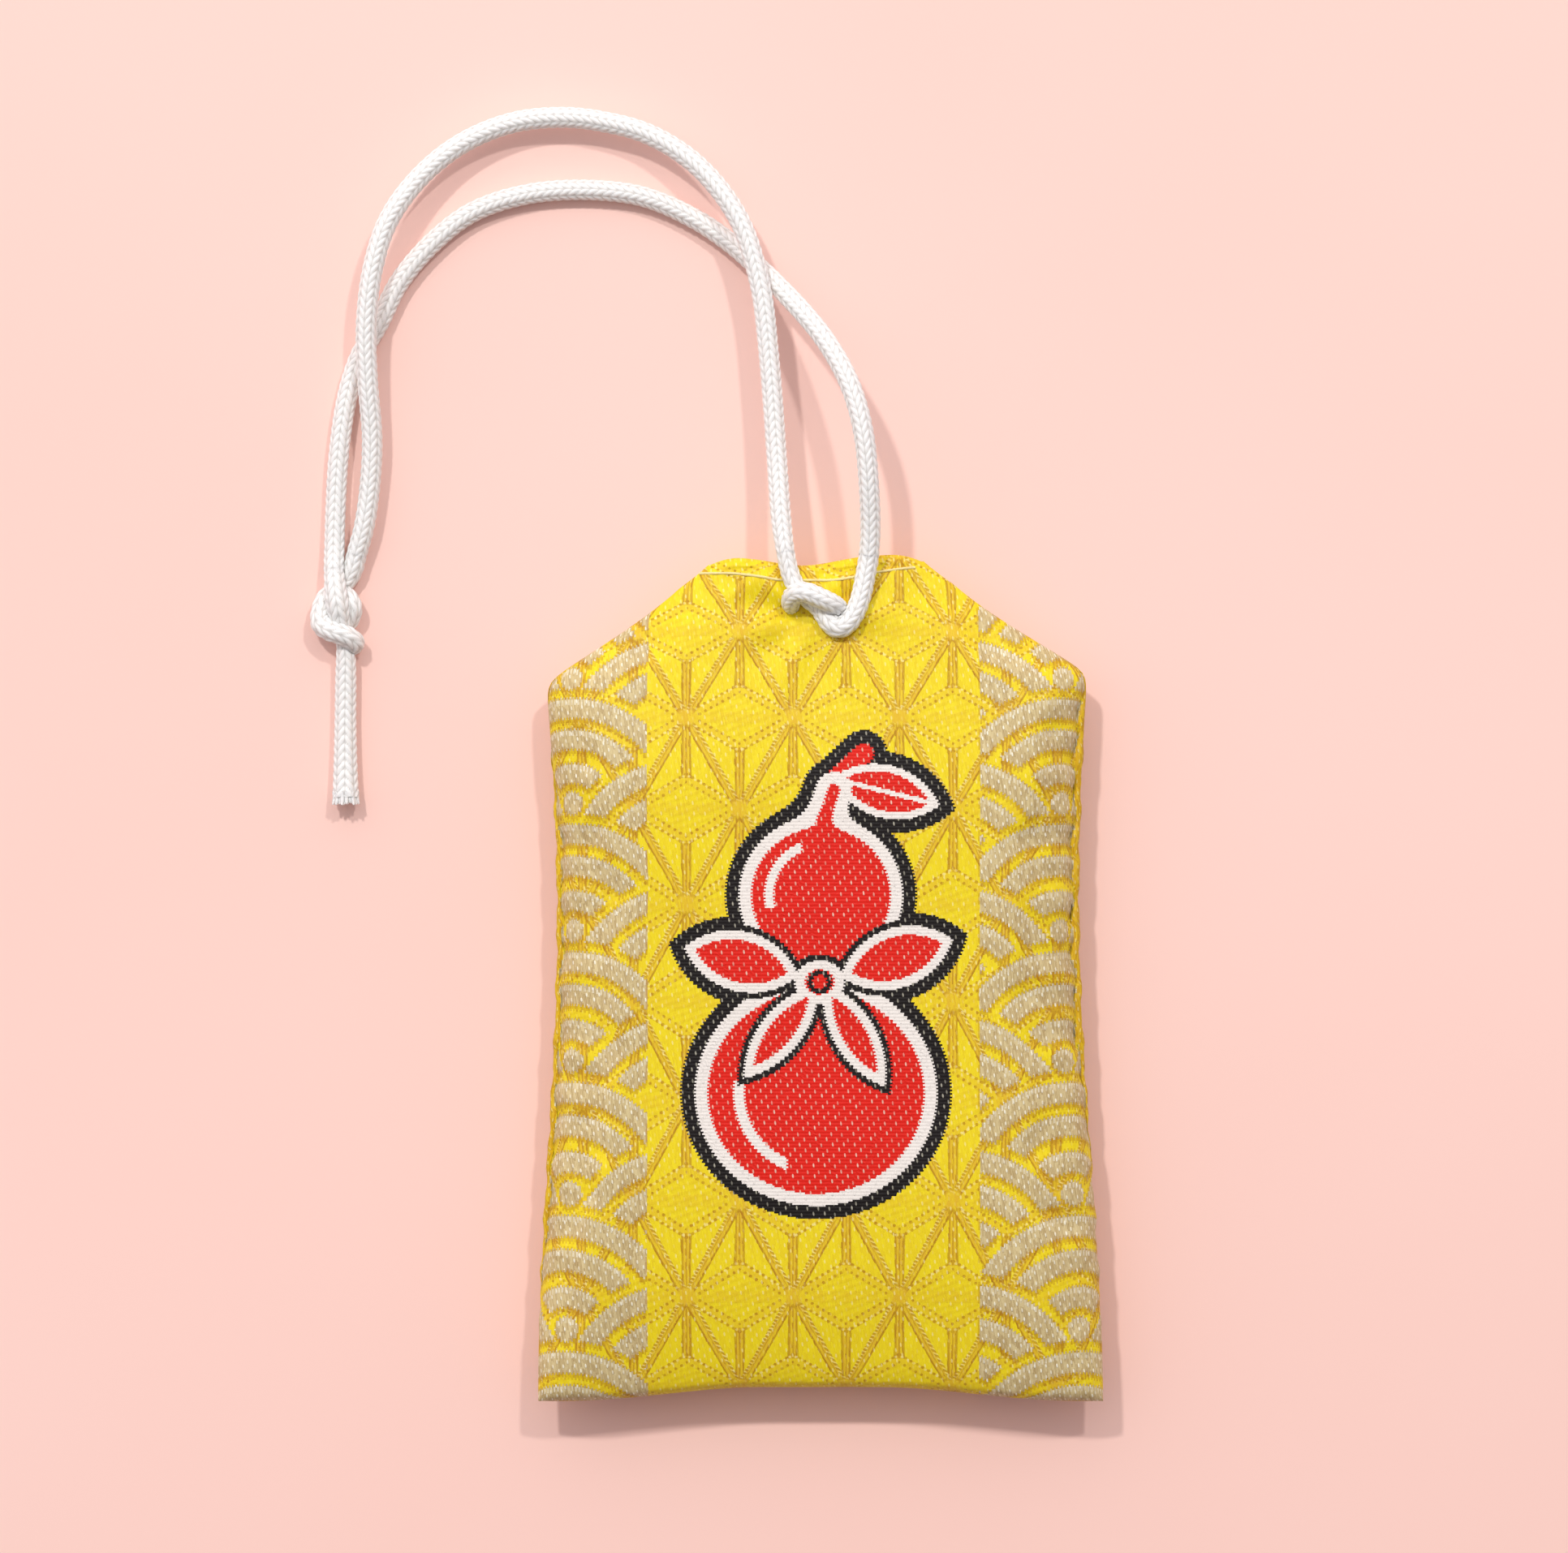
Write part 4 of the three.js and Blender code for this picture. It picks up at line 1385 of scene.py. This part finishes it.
    def seam_thread(self, side: int, silk: bpy.types.Material) -> bpy.types.Object:
        """Make the running stitch in one side seam.

        Args:
            side: -1 for the left seam, 1 for the right.
            silk: Finish of the thread.

        Returns:
            The thread, which rides on the pouch.
        """
        name = "left_seam_thread" if side < 0 else "right_seam_thread"
        radius, stitch_high, stitch_long, inside = 0.19, 0.3, 1.5, 0.3
        first, last, spacing = 3.0, 56.7, 0.5
        level = np.arange(first, last, spacing)
        x = side * (self.half_width(level) - self.bead(np.full(len(level), side), level) - inside)
        wave = stitch_high * np.sin(level * np.pi / stitch_long)
        z = self.seam_plane(level) + self.corner_rise(0.5, level) + wave
        line = np.stack([x + self.middle(level), self.along(x, level), z, np.full(len(level), radius)], 1)
        thread = CordLine(line, Plies()).tube(name)
        dress(thread, silk)
        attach(thread, "pouch")
        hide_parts(name)
        return thread

    def hem_thread(self, pouch: bpy.types.Object, silk: bpy.types.Material) -> bpy.types.Object:
        """Sew the fine line under the crest, on the cloth as it lies.

        Args:
            pouch: The pouch that it is sewn in.
            silk: Finish of the thread.

        Returns:
            The thread, which rides on the pouch.
        """
        radius, clear, stitch_high, stitch_turn = 0.11, 0.02, 0.05, 4.8
        count, smoothing, eye_height = 110, 9, 30.0
        x = np.linspace(self.hem[0][0], self.hem[-1][0], count)
        y = np.interp(x, [place[0] for place in self.hem], [place[1] for place in self.hem])
        y = np.pad(y, smoothing // 2, mode="edge")
        y = np.convolve(y, np.full(smoothing, 1 / smoothing), mode="valid")
        cloth = BVHTree.FromObject(pouch, bpy.context.evaluated_depsgraph_get())
        down = Vector((0.0, 0.0, -1.0))
        line = []
        for px, py in zip(x, y):
            hit = cloth.ray_cast(Vector((px, py, eye_height)) * MM, down)[0]
            if hit is not None:
                wave = stitch_high * math.sin(hit.x / MM * stitch_turn)
                line.append((hit.x / MM, hit.y / MM, hit.z / MM + clear + wave, radius))
        thread = CordLine(line, Plies(pitch=0.6)).tube("hem_thread")
        dress(thread, silk)
        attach(thread, "pouch")
        return thread


@dataclass
class Filling:
    """What the pouch holds: two pads of wadding, a stiff card and a folded slip."""

    pouch: Pouch
    margin: float = 3.2
    foot_level: float = 4.0
    top_level: float = 60.0
    thin_edge: float = 3.0
    lumpy: float = 0.14
    lump_scale: float = 0.35
    columns: int = 44
    rows: int = 60
    finishes: tuple[FillingFinish, ...] = (
        FillingFinish("wadding", srgb(240, 237, 228), srgb(222, 217, 204), 900.0, 0.0003),
        FillingFinish("grey_board", srgb(206, 192, 164), srgb(178, 163, 134), 1400.0, 0.00006),
        FillingFinish("slip_paper", srgb(246, 243, 233), srgb(232, 227, 212), 1800.0, 0.00004),
    )

    def pad(self, node: str, low: float, high: float, wadding: bpy.types.Material) -> bpy.types.Object:
        """Make one pad of wadding, lumpy and thin at its edges.

        Args:
            node: CAD node that it stands for.
            low: Height of its underside.
            high: Height of its top.
            wadding: Its finish.

        Returns:
            The pad, which rides on the pouch.
        """
        parts = []
        for sign in (1, -1):
            part, row, column = add_grid(node, self.columns, self.rows)
            share = (1 - np.cos(np.pi * row / self.rows)) / 2
            level = self.foot_level + (self.top_level - self.foot_level) * share
            across = np.sin((2 * column / self.columns - 1) * np.pi / 2)
            half = self.pouch.half_width(level) - self.margin
            x = across * half
            edge = np.minimum(half - np.abs(x), np.minimum(level - self.foot_level, self.top_level - level))
            places = zip(x * self.lump_scale, level * self.lump_scale)
            lump = np.array([noise.noise(Vector((a, b, sign * 5.0))) for a, b in places])
            thick = (high - low) / 2 * quarter_round(edge, self.thin_edge)
            thick = thick * (1 - self.lumpy + self.lumpy * lump)
            y = self.pouch.along(x, level)
            write_points(part, np.stack([x, y, (low + high) / 2 + sign * thick], 1))
            parts.append(part)
        pad = weld(parts)
        dress(pad, wadding)
        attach(pad, "pouch")
        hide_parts(node)
        return pad

    def build(self) -> list[bpy.types.Object]:
        """Make the pads and finish the card and the slip.

        Returns:
            The four pieces.
        """
        wadding, board, paper = (finish.material() for finish in self.finishes)
        pads = [self.pad("back_pad", 0.95, 2.25, wadding), self.pad("front_pad", 5.25, 6.6, wadding)]
        card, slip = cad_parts["core_card"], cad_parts["prayer_slip"]
        dress(card, board)
        dress(slip, paper)
        return pads + [card, slip]


@dataclass
class CarryingCord:
    """The white cord: one length that is tied to the pouch, runs out as a loop and ends in a knot."""

    diameter: float = 1.68
    bend_way: tuple[float, float, float] = (-0.2, 0.98, 0.0)
    bend_length: float = 4.2
    wrap_points: CordPoints = (
        (-40.1, 32.5, 1.1, 0.6), (-39.65, 31.9, 1.5, 0.72), (-39.4, 31.1, 1.55, 0.8),
        (-39.6, 30.2, 1.1, 0.76), (-40.2, 29.1, 0.6, 0.6), (-40.2, 28.2, 0.6, 0.6),
        (-39.6, 27.85, 0.9, 0.72), (-39.25, 28.15, 1.55, 0.84), (-39.6, 28.55, 2.05, 0.87),
        (-40.35, 28.9, 2.25, 0.9), (-41.2, 29.2, 2.1, 0.92), (-41.95, 29.75, 1.7, 0.92),
        (-42.05, 30.7, 1.4, 0.9), (-41.65, 31.9, 1.1, 0.86), (-40.7, 32.8, 0.8, 0.76),
        (-39.85, 33.5, 0.85, 0.78), (-39.4, 34.4, 1.05, 0.83),
    )
    outer_points: CordPoints = (
        (-39.1, 35.6, 1.2), (-38.45, 37.9, 1.5), (-37.95, 41.24, 1.75), (-37.72, 45.33, 2.15),
        (-38.05, 50.1, 2.8), (-38.15, 54.87, 3.2), (-37.56, 59.65, 3.4), (-36.2, 63.74, 3.3),
        (-33.47, 67.48, 2.8), (-30.06, 70.21, 2.35), (-25.97, 71.92, 2.05), (-21.88, 72.39, 1.95),
        (-18.47, 72.05, 2.05), (-14.38, 70.89, 2.35), (-10.29, 68.17, 3.05), (-6.88, 63.7, 3.85),
        (-5.1, 58.2, 4.25), (-4.26, 51.4, 4.5), (-3.7, 44.0, 4.9), (-3.3, 38.3, 5.95),
    )
    bight_points: CordPoints = (
        (-2.95, 35.6, 6.45, 0.77), (-2.6, 34.0, 6.5, 0.76), (-2.2, 33.0, 6.45, 0.76),
        (-1.65, 32.2, 6.4, 0.74), (-0.9, 31.5, 6.35, 0.7), (-0.2, 30.95, 6.4, 0.74),
        (0.35, 30.25, 6.6, 0.82), (0.85, 29.65, 6.78, 0.88), (1.45, 29.35, 6.85, 0.9),
        (2.1, 29.6, 6.85, 0.88), (2.65, 30.25, 6.82, 0.85), (3.1, 31.15, 6.78, 0.83),
        (3.45, 32.3, 6.7, 0.83), (3.75, 33.8, 6.62, 0.83), (4.0, 35.3, 6.65, 0.84),
    )
    inner_points: CordPoints = (
        (4.13, 37.4, 7.0), (3.98, 41.3, 7.85), (3.62, 45.0, 8.15), (2.98, 47.9, 7.95), (2.0, 50.5, 7.35),
        (0.42, 53.28, 6.1), (-1.17, 55.4, 4.9), (-3.07, 57.55, 3.45), (-5.18, 59.72, 2.0),
        (-7.52, 61.85, 1.1), (-10.6, 63.94, 0.88), (-15.06, 65.85, 0.88), (-20.52, 66.4, 0.88),
        (-25.35, 65.9, 0.88), (-29.55, 64.4, 0.88), (-32.85, 61.8, 0.88), (-35.51, 58.62, 0.88),
        (-37.22, 55.21, 0.88), (-38.92, 52.15, 0.88), (-39.95, 48.74, 0.88), (-40.63, 43.97, 0.88),
        (-40.9, 39.2, 0.9), (-40.98, 36.0, 1.1),
    )
    tail_points: CordPoints = (
        (-40.97, 34.2, 1.6, 0.85), (-40.8, 32.6, 2.1, 0.92), (-40.6, 31.2, 2.2, 0.96),
        (-40.4, 30.0, 1.85, 0.84), (-40.2, 28.7, 1.25, 0.66), (-40.02, 27.2, 1.15, 0.8),
        (-40.02, 25.2, 1.0, 0.88), (-40.05, 22.0, 0.95, 0.9), (-40.05, 18.6, 1.0, 0.97),
        (-40.03, 16.4, 1.1, 1.05), (-40.0, 15.1, 1.2, 1.13),
    )
    tie_points: CordPoints = (
        (-0.7, 31.0, 1.5, 0.6), (0.3, 31.0, 1.45, 0.62), (1.2, 31.0, 1.75, 0.64), (1.5, 30.98, 3.0, 0.62),
        (1.5, 30.98, 5.0, 0.66), (1.42, 31.05, 6.4, 0.76), (1.1, 31.22, 7.3, 0.8),
        (0.5, 31.5, 7.72, 0.82), (-0.3, 31.85, 7.9, 0.83), (-1.1, 32.18, 7.92, 0.83),
        (-1.8, 32.25, 7.65, 0.83), (-2.3, 31.95, 7.05, 0.83), (-2.5, 31.5, 6.3, 0.8),
        (-2.45, 31.15, 5.4, 0.7), (-2.4, 31.05, 4.4, 0.62), (-2.35, 31.05, 3.0, 0.62),
        (-2.05, 31.0, 1.75, 0.64), (-1.2, 31.0, 1.45, 0.6),
    )

    def line(self) -> CordLine:
        """Run the cord from its hidden end in the knot, round the loop and back, to the end of its tail.

        Returns:
            The whole cord's line.
        """
        radius = self.diameter / 2
        outer = [(*point, radius) for point in self.outer_points]
        inner = [(*point, radius) for point in self.inner_points]
        return CordLine([*self.wrap_points, *outer, *self.bight_points, *inner, *self.tail_points], Braid())

    def strand(
        self, line: CordLine, name: str, first: int, last: int, leaves_first: bool, knot: bpy.types.Object
    ) -> bpy.types.Object:
        """Make one free strand of the loop.

        Args:
            line: The whole cord.
            name: CAD node that it stands for.
            first: Row that it starts at.
            last: Row that it ends at.
            leaves_first: Whether its first row is the one at the tie; not used.
            knot: The piece of the knot that it runs into; not used.

        Returns:
            The strand.
        """
        strand = line.tube(name, first, last)
        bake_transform(strand)
        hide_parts(name)
        line.length(first, last) * MM
        LOG.info("%s is %.1f mm long", name, line.length(first, last))
        return strand

    def fray(self, line: CordLine, silk: bpy.types.Material) -> bpy.types.Object:
        """Make the loose ends of the yarns at the cut end of the tail; the upper ones reach furthest.

        Args:
            line: The whole cord.
            silk: Finish of the yarns.

        Returns:
            The yarn ends, which ride on the loop.
        """
        count, golden_angle, hidden, lowest = 64, 2.39996, 0.5, 0.04
        thick, slim, thin = 0.19, 0.17, 0.08
        end, up, side = line.rows[-1], line.up[-1], line.side[-1]
        ahead = np.cross(up, side)
        ahead = ahead * np.sign(ahead @ (line.rows[-1, :3] - line.rows[-9, :3]))
        yarns = []
        for number in range(count):
            angle = number * golden_angle
            share = math.sqrt((number + 0.5) / count)
            reach = end[3] * 0.9 * share
            out = math.cos(angle) * up + math.sin(angle) * side
            root = end[:3] + out * reach
            uneven = abs(noise.noise(Vector((number * 1.7, 0.3, 0.0))))
            loose = 0.32 + 0.26 * share * out[2] + 0.35 * uneven
            tip = root + ahead * loose + out * loose * 0.3 * reach
            half = root + ahead * loose * 0.55 + out * loose * 0.1 * reach
            points = [(*(root - ahead * hidden), thick), (*root, thick), (*half, slim), (*tip, thin)]
            yarns.append(CordLine(points, Plies(sides=7, plies=2), step=0.12).tube("tail_fray"))
        fray = weld(yarns)
        places = read_points(fray) / MM
        places[:, 2] = np.maximum(places[:, 2], lowest)
        write_points(fray, places)
        dress(fray, silk)
        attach(fray, "loop")
        return fray

    def build(self, silk: bpy.types.Material) -> list[bpy.types.Object]:
        """Make the whole cord and dress it.

        Args:
            silk: Finish of the cord.

        Returns:
            Its pieces.
        """
        line = self.line()
        knot_end = line.nearest(self.outer_points[0])
        tie_out = line.nearest(self.bight_points[0])
        tie_in = line.nearest(self.bight_points[-1])
        tail_start = line.nearest(self.tail_points[0])
        wrap = line.tube("end_knot", 0, knot_end)
        tail = line.tube("cord_tail", tail_start)
        bight = line.tube("loop_bight", tie_out, tie_in)
        tie = CordLine(self.tie_points, Braid(pitch=0.66)).tube("holding_tie")
        outer = self.strand(line, "loop_strand_outer", knot_end, tie_out, False, wrap)
        inner = self.strand(line, "loop_strand_inner", tie_in, tail_start, True, tail)
        fray = self.fray(line, silk)
        pieces = [tie, bight, outer, inner, wrap, tail]
        for piece in pieces:
            dress(piece, silk)
        for piece, body, nodes in (
            (wrap, "loop", ("end_knot",)),
            (tail, "loop", ("cord_tail", "knot_core")),
            (bight, "pouch", ("loop_bight",)),
            (tie, "pouch", ("holding_tie",)),
        ):
            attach(piece, body)
            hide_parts(*nodes)
        return pieces + [fray]


@dataclass(frozen=True)
class Lamp:
    """A round lamp that looks at the charm; its size and distance are in metres, its power in watts."""

    name: str
    toward: tuple[float, float, float]
    size: float
    power: float
    distance: float
    colour: tuple[float, float, float] = (1.0, 0.99, 0.97)

    def build(self) -> bpy.types.Object:
        """Make the lamp.

        Returns:
            The lamp, hung in its place.
        """
        toward = Vector(self.toward).normalized()
        light = bpy.data.lights.new(self.name, "AREA")
        light.shape = "DISK"
        light.size = self.size
        light.energy = self.power
        light.color = self.colour
        lamp = bpy.data.objects.new(self.name, light)
        lamp.location = toward * self.distance
        lamp.rotation_euler = toward.to_track_quat("Z", "Y").to_euler()
        bpy.context.scene.collection.objects.link(lamp)
        return lamp


@dataclass
class Stage:
    """The floor, the lights and the camera that looks straight down on the charm."""

    view_width: float = 131.7
    view_middle: tuple[float, float] = (-3.07, 16.9)
    view_height: float = 500.0
    view_plane: float = 3.0
    floor_width_m: float = 3.0
    lamps: tuple[Lamp, ...] = (
        Lamp("lamp_left", (-0.37, 0.66, 1.0), 0.046, 2.1, 0.8),
        Lamp("lamp_right", (0.33, 0.66, 1.0), 0.046, 1.55, 0.8),
        Lamp("lamp_soft", (-0.7, 0.75, 1.0), 2.0, 3.2, 1.3),
    )
    sky: float = 0.485
    sky_colour: Colour = (1.0, 0.92, 0.97, 1.0)
    sky_lean: tuple[float, float, float] = (-0.15, 0.9, 0.0)

    def floor(self) -> None:
        """Lay the floor."""
        bpy.ops.object.select_all(action="DESELECT")
        bpy.ops.mesh.primitive_plane_add(size=self.floor_width_m, location=(0.0, 0.0, 0.0))
        floor = bpy.context.object
        floor.name = "floor"
        dress(floor, FloorFinish().material())

    def lights(self) -> None:
        """Hang the lamps and make a sky that is brighter on the crest's side."""
        for lamp in self.lamps:
            lamp.build()
        world = bpy.data.worlds.new("studio")
        world.use_nodes = True
        shader = ShaderTree(world.node_tree)
        lean = shader.node("ShaderNodeVectorMath", operation="DOT_PRODUCT")
        direction = Signal(shader, shader.node("ShaderNodeTexCoord").outputs["Generated"])
        for socket, value in zip(lean.inputs, (direction, self.sky_lean)):
            shader.feed(socket, value)
        brightness = (Signal(shader, lean.outputs["Value"]) + 1.0) * self.sky
        background = world.node_tree.nodes["Background"]
        shader.set_inputs(background, {"Color": self.sky_colour, "Strength": brightness})
        bpy.context.scene.world = world

    def camera(self) -> None:
        """Hang the camera over the charm."""
        lens = bpy.data.cameras.new("camera")
        lens.sensor_fit = "HORIZONTAL"
        lens.angle = 2 * math.atan(self.view_width / 2 / (self.view_height - self.view_plane))
        lens.clip_start = 0.01
        camera = bpy.data.objects.new("camera", lens)
        camera.location = (self.view_middle[0] * MM, self.view_middle[1] * MM, self.view_height * MM)
        bpy.context.scene.collection.objects.link(camera)
        bpy.context.scene.camera = camera

    def build(self) -> None:
        """Make the stage."""
        self.floor()
        self.lights()
        self.camera()
        bpy.context.scene.view_settings.view_transform = "Standard"


def main() -> None:
    """Build the charm piece by piece, then its stage."""
    logging.basicConfig(level=logging.INFO, format="%(name)s: %(message)s")
    silk = CordFinish().material()
    # Each thread's second colour is painted shade in the grooves between its plies
    thread = CordFinish("seam_silk", srgb(238, 216, 120), srgb(180, 140, 30), 1.5, 0.00002).material()
    pale_thread = CordFinish("hem_silk", srgb(251, 230, 156), srgb(232, 198, 104), 1.5, 0.00002).material()
    pouch = Pouch()
    made = CarryingCord().build(silk)
    cloth = pouch.build(BrocadeFinish().material(), EdgeFinish().material())
    made.append(cloth)
    made.append(pouch.seam_thread(-1, thread))
    made.append(pouch.seam_thread(1, thread))
    made.append(pouch.hem_thread(cloth, pale_thread))
    made.extend(Filling(pouch).build())
    Stage().build()
    for piece in made:
        LOG.info("%s: %d faces", piece.name, len(piece.data.polygons))


if __name__ == "__main__":
    main()
